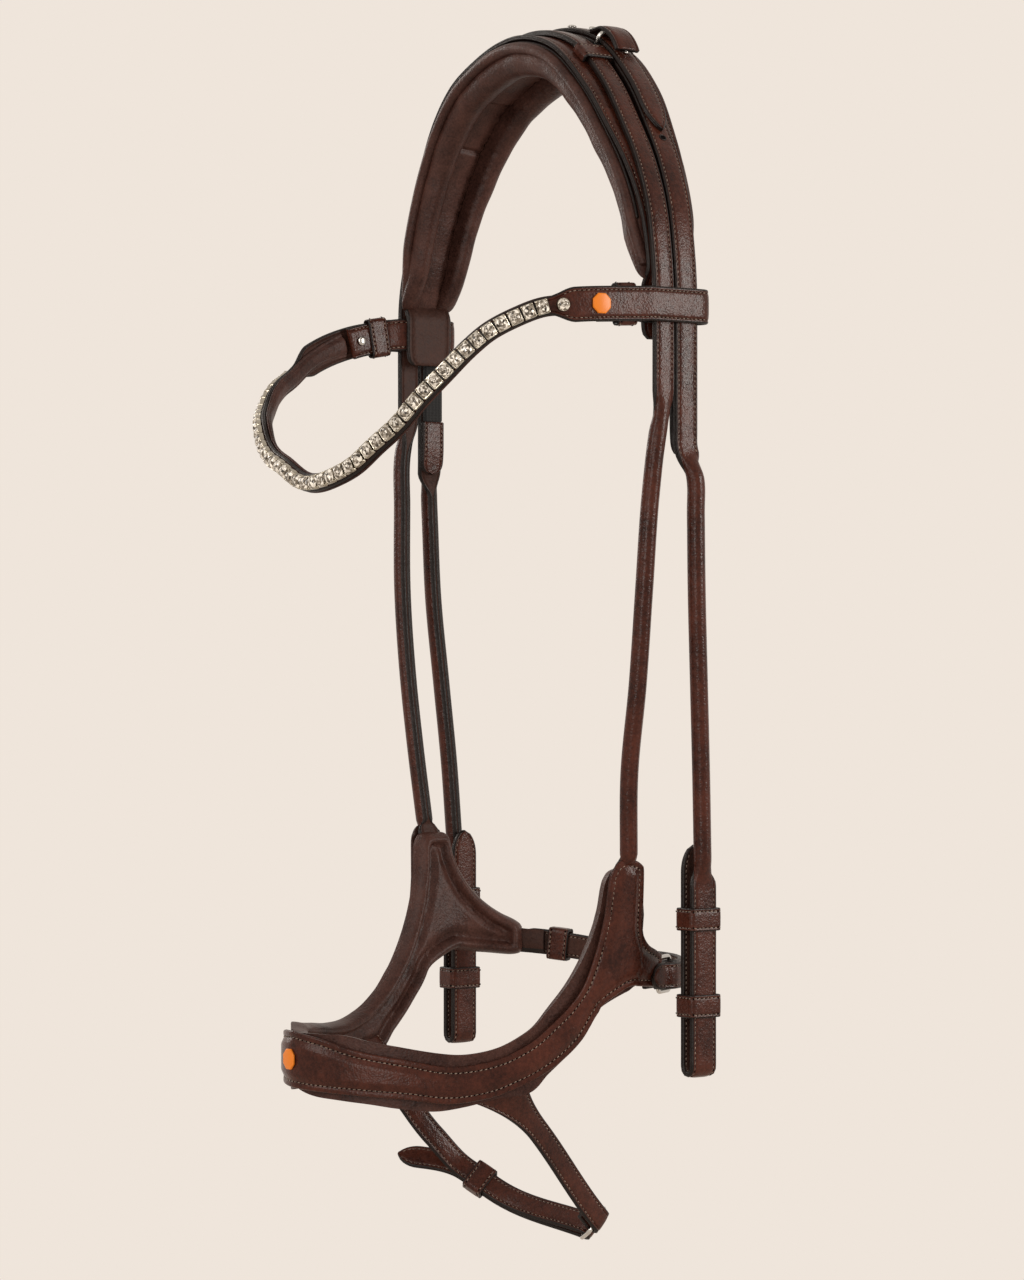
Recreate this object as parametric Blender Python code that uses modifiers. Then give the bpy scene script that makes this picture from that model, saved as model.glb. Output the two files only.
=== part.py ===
"""Horse bridle: padded headpiece, crystal browband, rolled cheekpieces and an anatomical noseband.

Metres, +Z up. The origin is on the underside of the poll pad, where the bridle hangs on the horse.
+X is the horse's left, its near side, and -Y is towards its nose. Depths below the poll are called drops.
"""

import bmesh
import bpy
import numpy as np
from mathutils import Matrix

GAP = 0.0003                      # clearance between pieces that lie on each other
UP = np.array([0.0, 0.0, 1.0])
BACK = np.array([0.0, 1.0, 0.0])
SIDES = {"near": 1, "far": -1}

# Leather and elastic stock
LEATHER = 0.0026                  # backing and noseband leather
STRAP = 0.0030                    # stitched straps
LIGHT_STRAP = 0.0024              # strap ends, chin and jaw straps
ELASTIC = 0.0018
KEEPER_WALL = 0.0014
KEEPER_CLEARANCE = 0.0004
EDGE = 0.0005                     # chamfer of cut strap edges
WIRE = 0.0022                     # buckle and ring wire
WIRE_CORNER = 0.0024

# Headpiece arch, measured on the underside of its leather
ARCH_RISE = 0.0175
ARCH_DROP = 0.1580
ARCH_HALF_WIDTH = 0.1062
# half width and fall, as shares of ARCH_HALF_WIDTH and of the arch's whole height
ARCH_SHARES = {
    "near": ((0.0, 0.0), (0.255, 0.034), (0.523, 0.162), (0.690, 0.285), (0.830, 0.402),
             (0.932, 0.525), (0.987, 0.668), (0.998, 0.746), (1.0, 0.863), (1.0, 1.0)),
    "far": ((0.0, 0.0), (0.165, 0.011), (0.348, 0.046), (0.524, 0.098), (0.673, 0.184), (0.803, 0.311),
            (0.895, 0.456), (0.952, 0.587), (0.995, 0.715), (1.0, 0.800), (1.0, 1.0)),
}
FLAP_DROP = 0.1380
FLAP_WIDTH = 0.0270
CROWN_LEATHER_WIDTH = 0.0500
CROWN_Y = 0.0086
STRAIGHT_DROP = 0.1010            # below this the straps hang plumb

# Headpiece pad: two rolls with a flat panel between them
PAD_END_DROP = 0.1070
PAD_POLL_WIDTH = 0.0530
PAD_END_WIDTH = 0.0330
PAD_POLL_THICKNESS = 0.0168
PAD_END_THICKNESS = 0.0140
PAD_END_LENGTH = 0.0160
PAD_END_SHARES = (0.0, 0.12, 0.36, 0.7)
PAD_CLEARANCE = 0.0007
PAD_CLOSE_SHARE = 0.9             # how far its ends close, 1 for a point
PAD_ROLL_SHARE = 0.29
PAD_PANEL_SHARE = 0.45

# Straps over the headpiece
NOSE_STRAP_WIDTH = 0.0120
NOSE_STRAP_Y = -0.0070
NOSE_STRAP_CROWN_Y = 0.0005
CHEEK_STRAP_WIDTH = 0.0134
CHEEK_STRAP_Y = 0.0062
CHEEK_STRAP_CROWN_Y = 0.0165

# Fastening at the crown; runs are measured along the arch from its middle
STRAP_END_START_RUN = -0.0100
STRAP_END_RUN = 0.1100
CROWN_KEEPER_RUN = 0.0500
CROWN_KEEPER_LENGTH = 0.0100
CROWN_BUCKLE_RUN = 0.0410
CROWN_BUCKLE_RISE = 0.0024        # clear height of its bar over the strap end
CROWN_TONGUE_LENGTH = 0.0125
CROWN_TONGUE_WIRE = 0.0018
STUD_RUNS = {"middle": 0.0060, "near": 0.0240}
STUD_RADIUS = 0.0024
STUD_HEIGHT = 0.0020
STUD_TOP_SHARE = 0.7

# Browband
BROW_DROP = 0.1225
BROW_REACH = 0.1380               # from the arch plane to the middle of the forehead
BROW_START_Y = -0.0170
BROW_PLAN_SHARE = 0.84            # squareness of the plan curve, 1 for an ellipse
BROW_DIP = 0.0845
BROW_END_HEIGHT = 0.0167
BROW_BAND_HEIGHT = 0.0088
BROW_THICKNESS = 0.0024
BROW_LOOP_CLEARANCE = 0.0008
BROW_PINCH = 0.0060               # run in which the loop's inner layer comes out to the band
BROW_TAPER = 0.0140
BROW_TAB_RUN = 0.0290
BROW_KEEPER_LENGTH = 0.0110
BROW_KEEPER_RUN = {"near": 0.0145, "far": 0.0125}
BROW_STUD_RUN = 0.0225
# half width and dip, as shares of the plan's half width and of BROW_DIP
BROW_DIP_SHARES = {
    "near": ((0.000, 1.000), (0.209, 0.968), (0.324, 0.910), (0.425, 0.812), (0.534, 0.692),
             (0.613, 0.560), (0.696, 0.422), (0.775, 0.272), (0.817, 0.196), (0.881, 0.106),
             (0.927, 0.048), (0.964, 0.030), (1.000, 0.000)),
    "far": ((0.000, 1.000), (0.209, 0.893), (0.324, 0.840), (0.425, 0.770), (0.534, 0.660),
            (0.613, 0.600), (0.696, 0.538), (0.775, 0.438), (0.817, 0.385), (0.881, 0.309),
            (0.927, 0.212), (0.964, 0.131), (0.990, 0.060), (1.000, 0.000)),
}
LINING = 0.0014
LINING_HEIGHT = 0.0102

# Crystals in square cups; runs are measured along the band from its start at the straps
CRYSTAL_START = {"near": 0.0560, "far": 0.0700}
CRYSTAL_PITCH = 0.0068
CRYSTAL_WIDTH = 0.0070
CRYSTAL_HEIGHT = 0.0040
CRYSTAL_GROOVE = 0.0006
CRYSTAL_BASE = 0.0012
CRYSTAL_BASE_WIDTH = 0.0052
STONE_TOP_SHARE = 0.6
CUP_HEIGHT_SHARE = 0.6
SINGLE_CRYSTAL_RUN = 0.0490
SINGLE_CRYSTAL_RADIUS = 0.0032
BROW_BADGE_RUN = 0.0290
BADGE_RADIUS = 0.0052
BADGE_THICKNESS = 0.0010
BADGE_CORNERS = 8
BADGE_TOP_SHARE = 0.92

# Cheek straps and the elastic behind them
CHEEK_STRAP_TOP_RISE = 0.0040     # above the browband's middle; the strap slides inside its loop here
CHEEK_STRAP_TOP_DROP = BROW_DROP - CHEEK_STRAP_TOP_RISE
CHEEK_FLEX_DROP = 0.1820
ELASTIC_WIDTH = 0.0112
ELASTIC_DROP = 0.1670

# Cheekpieces, near side
ROLL_RADIUS = 0.00435
ROLL_START_DROP = 0.2060
ROLL_TAPER = 0.0140
CHEEK_X = 0.1150                  # at the top of the roll
CHEEK_Y = 0.0090
BILLET_X = 0.1062
BILLET_Y = 0.0203
CHEEK_DRAW_SHARES = ((0.08, 0.04), (0.27, 0.15), (0.51, 0.46), (0.74, 0.76), (0.89, 0.90))
BILLET_TOP_DROP = 0.4010
BILLET_DROP = 0.4940
BILLET_WIDTH = 0.0150
BILLET_THICKNESS = 0.0026
BILLET_SPACE = 0.0046             # between the two legs, where the bit's ring goes
BILLET_TIP_DROP = 0.3820
UPPER_KEEPER_DROP = 0.4178
RUNNER_DROP = 0.4596
BILLET_KEEPER_LENGTH = 0.0110
BILLET_STUD_BELOW_TIP = 0.0580

# Noseband hangers, near side
HANGER_FLEX_DROP = 0.1620
HANGER_ROLL_DROP = 0.1850
HANGER_BELLY = 0.0036             # how far it bows forward
# share of the way down, of the way in and of the belly
HANGER_DRAW_SHARES = ((0.14, 0.12, 0.55), (0.36, 0.25, 1.0), (0.585, 0.475, 1.0), (0.80, 0.80, 0.85))

# Noseband: a pointed oval in plan in front, a round arc behind each side
NOSE_HALF_WIDTH = 0.0800
NOSE_REACH = 0.1400
NOSE_PLAN_SHARE = 1.176           # pointedness of the oval, 1 for an ellipse
NOSE_Y = -0.0060
NOSE_REAR_RADIUS = 0.0660
NOSE_FLARE = 0.0085               # how far the tops of the side arms lean out
NOSE_FLARE_DROP = 0.4580          # where they start to
NOSE_DROP = 0.5043                # of its lowest edge
NOSE_RISE = 0.1146                # from there to the top of the side arms
NOSE_FAR_RISE = 0.0100            # how much higher its far side hangs
# angle from the front, then upper and lower edge as shares of NOSE_RISE
NOSE_SHARES = ((0.0, 0.295, 0.055), (14.0, 0.269, 0.045), (27.0, 0.218, 0.033), (38.0, 0.186, 0.020),
               (48.7, 0.155, 0.000), (56.0, 0.173, 0.020), (63.3, 0.229, 0.072), (70.0, 0.330, 0.142),
               (74.0, 0.404, 0.203), (76.5, 0.474, 0.251), (78.3, 0.570, 0.299), (79.8, 0.683, 0.343),
               (81.0, 0.814, 0.369), (81.8, 0.962, 0.391), (83.5, 1.000, 0.413), (90.0, 1.000, 0.465),
               (93.0, 0.980, 0.469), (94.2, 0.814, 0.467), (96.6, 0.675, 0.465), (100.0, 0.640, 0.462),
               (104.4, 0.620, 0.458), (112.0, 0.587, 0.452), (127.0, 0.557, 0.448), (138.0, 0.557, 0.448))
NOSE_COLUMN_ANGLES = (0.0, 5.0, 10.0, 16.0, 22.0, 28.0, 34.0, 40.0, 46.0, 52.0, 57.5, 63.0, 68.0, 72.0,
                      75.0, 77.0, 78.7, 80.0, 81.0, 82.0, 84.0, 89.0, 93.0, 94.5, 97.0, 100.0, 104.0,
                      109.0, 114.0, 121.0, 128.0)
NOSE_END_ANGLE = {"near": 110.0, "far": 138.0}
NOSE_PAD_THICKNESS = 0.0085
NOSE_PAD_CLEARANCE = 0.0009
NOSE_PAD_SHARES = ((0.0, 0.308, 0.051), (13.0, 0.299, 0.020), (21.0, 0.290, 0.010), (30.0, 0.255, -0.006),
                   (38.6, 0.230, -0.024), (46.0, 0.209, -0.032), (52.0, 0.203, -0.012), (58.4, 0.229, 0.018),
                   (64.6, 0.292, 0.033), (69.2, 0.381, 0.112), (73.6, 0.493, 0.186), (76.9, 0.609, 0.256),
                   (79.0, 0.714, 0.304), (80.3, 0.810, 0.343), (81.2, 0.928, 0.369), (82.5, 0.962, 0.387),
                   (89.0, 0.975, 0.435), (93.0, 0.971, 0.448), (96.0, 0.875, 0.448), (100.0, 0.788, 0.445),
                   (108.0, 0.692, 0.439), (118.0, 0.622, 0.435), (128.0, 0.587, 0.435))
NOSE_PAD_END_ANGLE = {"near": 98.0, "far": 128.0}
HANGER_FOOT_ANGLE = 86.5
NOSE_BADGE_HEIGHT = 0.0105
NOSE_BADGE_WIDTH = 0.0100

# Jaw strap behind the noseband
JAW_STRAP_WIDTH = 0.0130
JAW_START_ANGLE = 126.0           # on the far side, where it lies on the noseband's end
JAW_MEET_ANGLE = 150.0
JAW_KEEPER_ANGLE = 145.0
JAW_KEEPER_LENGTH = 0.0110
FOLD_TAIL = 0.0090
RING_LENGTH = 0.0150              # between the middles of its bars

# Chin strap below the noseband
CHIN_ARM_ANGLE = 55.0             # where each arm leaves the noseband
CHIN_ROOT_SPREAD = 8.0            # angle from there to either end of its root
CHIN_ARM_TAPER = 0.0380
CHIN_ARM_BOW = 0.0052             # how far an arm bows up and rearward
CHIN_STRAP_WIDTH = 0.0120
CHIN_RING_X = 0.0360
CHIN_RING_Y = 0.0058
CHIN_RING_DROP = 0.5715
CHIN_KEEPER_X = -0.0300
CHIN_KEEPER_Y = -0.0168
CHIN_KEEPER_DROP = 0.5552
CHIN_TIP_X = -0.0640
CHIN_TIP_Y = -0.0440
CHIN_TIP_DROP = 0.5440
CHIN_KEEPER_LENGTH = 0.0110

FLAT_POWER = 8
SOFT_POWER = 3
ROUND_POWER = 2

FINISHES = {
    "bridle_leather": ("#3a211c", 0.35, 0.0),
    "soft_leather": ("#43302c", 0.75, 0.0),
    "elastic": ("#0d0c0d", 0.85, 0.0),
    "steel": ("#c9c9c6", 0.2, 1.0),
    "crystal": ("#d9d2bd", 0.1, 0.6),
    "badge": ("#f08a2c", 0.4, 0.0),
}


def clear_scene() -> None:
    for obj in list(bpy.data.objects):
        bpy.data.objects.remove(obj)


def linear(code: str) -> tuple:
    """Linear colour of an sRGB hex code."""
    channels = np.array([int(code[i:i + 2], 16) for i in (1, 3, 5)]) / 255
    high = ((channels + 0.055) / 1.055) ** 2.4
    return (*np.where(channels <= 0.04045, channels / 12.92, high), 1.0)


def make_materials() -> dict:
    made = {}
    for name, (code, roughness, metallic) in FINISHES.items():
        material = bpy.data.materials.new(name)
        material.use_nodes = True
        shader = material.node_tree.nodes["Principled BSDF"]
        shader.inputs["Base Color"].default_value = linear(code)
        shader.inputs["Roughness"].default_value = roughness
        shader.inputs["Metallic"].default_value = metallic
        material.diffuse_color = linear(code)
        made[name] = material
    return made


class Bench:
    """The bridle's collection, its finishes and the empties that carry its moving bodies."""

    def __init__(self) -> None:
        self.collection = bpy.data.collections.new("horse_bridle")
        bpy.context.scene.collection.children.link(self.collection)
        self.materials = make_materials()
        self.pivots = {}

    def pivot(self, name: str, place) -> None:
        """An empty on a joint's axis, which carries the pieces of one moving body."""
        empty = bpy.data.objects.new(name, None)
        empty.empty_display_size = ROLL_RADIUS
        empty.location = place
        self.collection.objects.link(empty)
        self.pivots[name] = empty

    def add(self, name: str, data, finish: str, body: str = "", axes=None, place=None):
        """An object, in the world's axes or in the given ones, carried by its body's empty."""
        obj = bpy.data.objects.new(name, data)
        data.materials.append(self.materials[finish])
        self.collection.objects.link(obj)
        if axes is not None:
            turn = Matrix([list(row) for row in np.transpose(axes)]).to_4x4()
            turn.translation = place
            obj.matrix_world = turn
        if body:
            obj.parent = self.pivots[body]
            obj.matrix_parent_inverse.translation = -self.pivots[body].location
        return obj


# Lines through space

def unit(vectors) -> np.ndarray:
    vectors = np.asarray(vectors, float)
    return vectors / np.linalg.norm(vectors, axis=-1, keepdims=True)


def smooth_path(points, count: int) -> np.ndarray:
    """Cubic curve through the points, with the slopes that their neighbours give."""
    points = np.asarray(points, float)
    chord = np.linalg.norm(np.diff(points, axis=0), axis=1)
    knots = np.concatenate([[0.0], np.cumsum(chord)])
    slopes = np.gradient(points, knots, axis=0)
    fine = np.linspace(0.0, knots[-1], count)
    i = np.clip(np.searchsorted(knots, fine, side="right") - 1, 0, len(points) - 2)
    step = (knots[i + 1] - knots[i])[:, None]
    t = (fine - knots[i])[:, None] / step
    start = (2 * t ** 3 - 3 * t ** 2 + 1) * points[i] + (t ** 3 - 2 * t ** 2 + t) * step * slopes[i]
    end = (3 * t ** 2 - 2 * t ** 3) * points[i + 1] + (t ** 3 - t ** 2) * step * slopes[i + 1]
    return start + end


class Route:
    """A line through dense points, read by distance along it."""

    def __init__(self, points) -> None:
        self.points = np.asarray(points, float)
        steps = np.linalg.norm(np.diff(self.points, axis=0), axis=1)
        self.lengths = np.concatenate([[0.0], np.cumsum(steps)])
        self.total = self.lengths[-1]

    def at(self, distances) -> np.ndarray:
        return np.stack([np.interp(distances, self.lengths, self.points[:, k]) for k in range(3)], -1)

    def tangent(self, distances) -> np.ndarray:
        step = self.total / len(self.points)
        distances = np.asarray(distances, float)
        ahead = self.at(np.minimum(distances + step, self.total))
        behind = self.at(np.maximum(distances - step, 0.0))
        return unit(ahead - behind)

    def at_drop(self, drop: float) -> float:
        """Distance to the first point that lies this far below the poll."""
        return self.lengths[np.argmax(-self.points[:, 2] >= drop)]


def line_tangents(points: np.ndarray) -> np.ndarray:
    ahead = np.concatenate([points[1:], points[-1:]])
    behind = np.concatenate([points[:1], points[:-1]])
    return unit(ahead - behind)


def square_to(tangents: np.ndarray, hint) -> np.ndarray:
    """The hinted direction made square to each tangent."""
    hint = np.broadcast_to(hint, tangents.shape)
    return unit(hint - np.sum(hint * tangents, axis=-1, keepdims=True) * tangents)


def smooth_step(t):
    t = np.clip(t, 0.0, 1.0)
    return t * t * (3 - 2 * t)


def round_end(radius: float, steps: int = 5):
    """Distances from a round end and the widths there, with a blunt first step."""
    angles = np.radians(np.linspace(22.0, 90.0, steps))
    return radius * (1 - np.cos(angles)), 2 * radius * np.sin(angles)


def with_ends(total: float, steps: int, width, start_radius: float = 0.0, end_radius: float = 0.0):
    """Distances along a strap and the widths there, rounded at an end that has a radius."""
    start, start_widths = round_end(start_radius) if start_radius else (np.zeros(1), None)
    back, end_widths = round_end(end_radius) if end_radius else (np.zeros(1), None)
    end = total - back[::-1]
    middle = np.linspace(start[-1], end[0], steps + 1)[1:-1]
    distances = np.concatenate([start, middle, end])
    widths = np.broadcast_to(width(distances) if callable(width) else width, distances.shape).copy()
    if start_radius:
        widths[:len(start)] = np.minimum(widths[:len(start)], start_widths)
    if end_radius:
        widths[-len(end):] = np.minimum(widths[-len(end):], end_widths[::-1])
    return distances, widths


def u_turn(place, ahead, aside, radius: float, steps: int = 6) -> np.ndarray:
    """Points of a half circle that starts at a place, heads one way and ends to one side of it."""
    angles = np.linspace(0.0, np.pi, steps + 1)[:, None]
    return place + radius * (aside * (1 - np.cos(angles)) + ahead * np.sin(angles))


# Leather shapes

def thicken(obj, thickness: float, edge: float = EDGE) -> None:
    shell = obj.modifiers.new("thickness", "SOLIDIFY")
    shell.thickness = thickness
    shell.offset = 0.0
    shell.use_even_offset = True
    bevel = obj.modifiers.new("edges", "BEVEL")
    bevel.width = edge
    bevel.segments = 1
    bevel.limit_method = "ANGLE"
    bevel.angle_limit = np.radians(60.0)


def strip(bench: Bench, name: str, left: np.ndarray, right: np.ndarray, thickness: float, finish: str,
          body: str = ""):
    """Flat leather between two edge lines, thickened both ways."""
    count = len(left)
    rows = np.arange(count - 1)
    faces = np.stack([rows, rows + 1, rows + 1 + count, rows + count], 1)
    mesh = bpy.data.meshes.new(name)
    mesh.from_pydata(np.concatenate([left, right]).tolist(), [], faces.tolist())
    obj = bench.add(name, mesh, finish, body)
    thicken(obj, thickness)
    return obj


def ribbon(bench: Bench, name: str, points: np.ndarray, widths, hint, thickness: float, finish: str,
           body: str = ""):
    """Strap of a given width at each point of its middle line."""
    widths = np.broadcast_to(widths, len(points))[:, None]
    across = square_to(line_tangents(points), hint) * widths / 2
    return strip(bench, name, points - across, points + across, thickness, finish, body)


def lofted_mesh(name: str, rings: np.ndarray):
    """Closed body through rings of points, facing out, smooth but for its sharp edges."""
    count, sides = rings.shape[:2]
    start = np.arange(count - 1)[:, None] * sides
    side = np.arange(sides)
    a, b = start + side, start + (side + 1) % sides
    faces = np.stack([a, b, b + sides, a + sides], -1).reshape(-1, 4).tolist()
    faces.append(side[::-1].tolist())
    faces.append((side + (count - 1) * sides).tolist())
    mesh = bpy.data.meshes.new(name)
    mesh.from_pydata(rings.reshape(-1, 3).tolist(), [], faces)
    shape = bmesh.new()
    shape.from_mesh(mesh)
    bmesh.ops.recalc_face_normals(shape, faces=shape.faces)
    shape.to_mesh(mesh)
    shape.free()
    mesh.shade_smooth()
    mesh.set_sharp_from_angle(angle=np.radians(40.0))
    return mesh


def rolled(bench: Bench, name: str, route: Route, sections, body: str, sides: int = 10):
    """Leather that goes from flat to rolled and back: a loft of ovals, their width along Y.

    Each section is a distance, a width, a depth and the power of its oval: 2 is round."""
    distances, widths, depths, powers = np.asarray(sections, float).T
    centres = route.at(distances)
    tangents = route.tangent(distances)
    across = square_to(tangents, BACK)
    outward = np.cross(tangents, across)
    angles = (np.arange(sides) + 0.5) * 2 * np.pi / sides
    share = 2 / powers[:, None]
    wide = np.sign(np.cos(angles)) * np.abs(np.cos(angles)) ** share * widths[:, None] / 2
    deep = np.sign(np.sin(angles)) * np.abs(np.sin(angles)) ** share * depths[:, None] / 2
    rings = centres[:, None] + wide[..., None] * across[:, None] + deep[..., None] * outward[:, None]
    return bench.add(name, lofted_mesh(name, rings), "bridle_leather", body)


def cushion_section(roll_share: float, panel_share: float) -> np.ndarray:
    """Section of a cushion one wide and one thick: flat above, two rolls and a low panel below."""
    angles = np.radians([-35.0, 5.0, 45.0, 90.0, 135.0])
    rolls = np.stack([0.5 - roll_share / 2 + roll_share / 2 * np.cos(angles),
                      0.5 + 0.5 * np.sin(angles)], 1)
    seam = np.array([[0.5 - roll_share, panel_share]])
    half = np.concatenate([rolls, seam])
    flat = np.array([[-0.5 + roll_share / 2, 0.0], [0.5 - roll_share / 2, 0.0]])
    return np.concatenate([half, half[::-1] * [-1, 1], flat])


def keeper(bench: Bench, name: str, place, along, outward, inner_width: float, inner_depth: float,
           length: float, body: str = "", closed: bool = True):
    """Leather loop round a strap, or a bridge over it whose legs stand on the layer below."""
    along = unit(along)
    outward = square_to(along, outward)
    across = np.cross(along, outward)
    curve = bpy.data.curves.new(name, "CURVE")
    curve.dimensions = "2D"
    curve.fill_mode = "BOTH"
    curve.extrude = length / 2
    width, depth = inner_width / 2, inner_depth / 2
    if closed:
        outline(curve, boxed(width + KEEPER_WALL, depth + KEEPER_WALL, KEEPER_WALL))
        outline(curve, boxed(width, depth, KEEPER_WALL / 3))
    else:
        outer, top, foot = width + KEEPER_WALL, depth + KEEPER_WALL, KEEPER_CLEARANCE - depth
        outline(curve, [(-outer, foot), (-width, foot), (-width, depth), (width, depth),
                        (width, foot), (outer, foot), (outer, top - KEEPER_WALL / 2),
                        (outer - KEEPER_WALL / 2, top), (-outer + KEEPER_WALL / 2, top),
                        (-outer, top - KEEPER_WALL / 2)])
    axes = np.stack([across, outward, np.cross(across, outward)])
    return bench.add(name, curve, "bridle_leather", body, axes, place)


def boxed(half_width: float, half_height: float, corner: float) -> list:
    """Corners of a rectangle with its corners cut."""
    x, y = half_width, half_height
    return [(x, y - corner), (x - corner, y), (corner - x, y), (-x, y - corner),
            (-x, corner - y), (corner - x, -y), (x - corner, -y), (x, corner - y)]


def outline(curve, points, cyclic: bool = True) -> None:
    spline = curve.splines.new("POLY")
    spline.points.add(len(points) - 1)
    for point, place in zip(spline.points, points):
        point.co = (*place, 1.0) if len(place) == 3 else (*place, 0.0, 1.0)
    spline.use_cyclic_u = cyclic


def wire(bench: Bench, name: str, points, radius: float, body: str = "", cyclic: bool = False):
    curve = bpy.data.curves.new(name, "CURVE")
    curve.dimensions = "3D"
    curve.bevel_depth = radius
    curve.bevel_resolution = 2
    curve.use_fill_caps = not cyclic
    outline(curve, [tuple(p) for p in points], cyclic)
    return bench.add(name, curve, "steel", body)


def ring_points(centre, along, across, half_length: float, half_width: float) -> np.ndarray:
    """Middle line of a rectangular ring with rounded corners."""
    turn = np.radians([0.0, 30.0, 60.0, 90.0])
    points = []
    for quarter, (x, y) in enumerate(((1, 1), (-1, 1), (-1, -1), (1, -1))):
        corner = centre + along * x * (half_length - WIRE_CORNER) + across * y * (half_width - WIRE_CORNER)
        for angle in turn + quarter * np.pi / 2:
            points.append(corner + WIRE_CORNER * (along * np.cos(angle) + across * np.sin(angle)))
    return np.array(points)


def disc(bench: Bench, name: str, place, outward, radius: float, height: float, sides: int, top_share: float,
         finish: str, body: str = "", top=UP):
    """Round or cornered plate that stands on a place, narrower at its top."""
    mesh = bpy.data.meshes.new(name)
    shape = bmesh.new()
    bmesh.ops.create_cone(shape, cap_ends=True, segments=sides, radius1=radius,
                          radius2=radius * top_share, depth=height)
    bmesh.ops.rotate(shape, verts=shape.verts, matrix=Matrix.Rotation(np.pi / sides, 3, "Z"))
    bmesh.ops.translate(shape, verts=shape.verts, vec=(0.0, 0.0, height / 2))
    shape.to_mesh(mesh)
    shape.free()
    outward = unit(outward)
    up = square_to(outward, top)
    axes = np.stack([np.cross(up, outward), up, outward])
    return bench.add(name, mesh, finish, body, axes, place)


# Headpiece

def arch_line(offset: float, end_drop: float, side_y: float, crown_y: float) -> Route:
    """Line over the head from the far side to the near one, this far out from the arch."""
    halves = []
    for name, side in SIDES.items():
        wide, fall = np.array(ARCH_SHARES[name]).T
        halves.append(np.stack([side * wide * ARCH_HALF_WIDTH, 0 * wide,
                                ARCH_RISE - fall * (ARCH_RISE + ARCH_DROP)], 1))
    fine = smooth_path(np.concatenate([halves[1][:0:-1], halves[0]]), 61)
    tangents = line_tangents(fine)
    fine = fine + offset * np.stack([-tangents[:, 2], 0 * tangents[:, 0], tangents[:, 0]], 1)
    fine[:, 1] = crown_y + (side_y - crown_y) * smooth_step(
        (ARCH_RISE - fine[:, 2]) / (ARCH_RISE + STRAIGHT_DROP))
    middle = len(fine) // 2
    ends = [[np.interp(end_drop, -half[:, 2], half[:, 0]), side_y, -end_drop]
            for half in (fine[middle::-1], fine[middle:])]
    kept = fine[-fine[:, 2] < min(end_drop, ARCH_DROP) - EDGE]
    return Route(np.concatenate([ends[:1], kept, ends[1:]]))


def out_of(tangent) -> np.ndarray:
    """Direction out of the arch at a tangent of one of its lines."""
    return unit(np.cross(tangent, BACK))


STRAP_OFFSET = LEATHER + GAP + STRAP / 2
STRAP_TOP = LEATHER + GAP + STRAP
STRAP_END_OFFSET = STRAP_TOP + GAP + LIGHT_STRAP / 2


def make_headpiece(bench: Bench) -> None:
    route = arch_line(LEATHER / 2, FLAP_DROP, 0.0, CROWN_Y)
    points = route.points
    fall = smooth_step((ARCH_RISE - points[:, 2]) / (ARCH_RISE + STRAIGHT_DROP))
    ribbon(bench, "headpiece", points, CROWN_LEATHER_WIDTH + (FLAP_WIDTH - CROWN_LEATHER_WIDTH) * fall,
           BACK, LEATHER, "bridle_leather")
    make_headpiece_pad(bench)
    for name, width, side_y, crown_y, end in (
            ("noseband_headstrap", NOSE_STRAP_WIDTH, NOSE_STRAP_Y, NOSE_STRAP_CROWN_Y, HANGER_FLEX_DROP),
            ("cheek_headstrap", CHEEK_STRAP_WIDTH, CHEEK_STRAP_Y, CHEEK_STRAP_CROWN_Y,
             CHEEK_STRAP_TOP_DROP - GAP)):
        route = arch_line(STRAP_OFFSET, end, side_y, crown_y)
        ribbon(bench, name, route.points, width, BACK, STRAP, "bridle_leather")


def make_headpiece_pad(bench: Bench) -> None:
    route = arch_line(-PAD_CLEARANCE, PAD_END_DROP, 0.0, CROWN_Y)
    close_runs = PAD_END_LENGTH * np.array(PAD_END_SHARES)
    inside = (route.lengths > PAD_END_LENGTH) & (route.lengths < route.total - PAD_END_LENGTH)
    inner_runs = route.lengths[inside]
    distances = np.concatenate([close_runs, inner_runs, route.total - close_runs[::-1]])
    points = route.at(distances)
    from_end = np.minimum(distances, route.total - distances)
    swell = smooth_step(from_end / (route.total / 2))
    close = np.sqrt(1 - PAD_CLOSE_SHARE * (1 - np.clip(from_end / PAD_END_LENGTH, 0.0, 1.0)) ** 2)
    widths = (PAD_END_WIDTH + (PAD_POLL_WIDTH - PAD_END_WIDTH) * swell) * close
    deep = (PAD_END_THICKNESS + (PAD_POLL_THICKNESS - PAD_END_THICKNESS) * swell) * close
    section = cushion_section(PAD_ROLL_SHARE, PAD_PANEL_SHARE)
    inward = -out_of(route.tangent(distances))
    rings = (points[:, None] + (section[:, 0] * widths[:, None])[..., None] * BACK
             + (section[:, 1] * deep[:, None])[..., None] * inward[:, None])
    bench.add("headpiece_pad", lofted_mesh("headpiece_pad", rings), "soft_leather")


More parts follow.
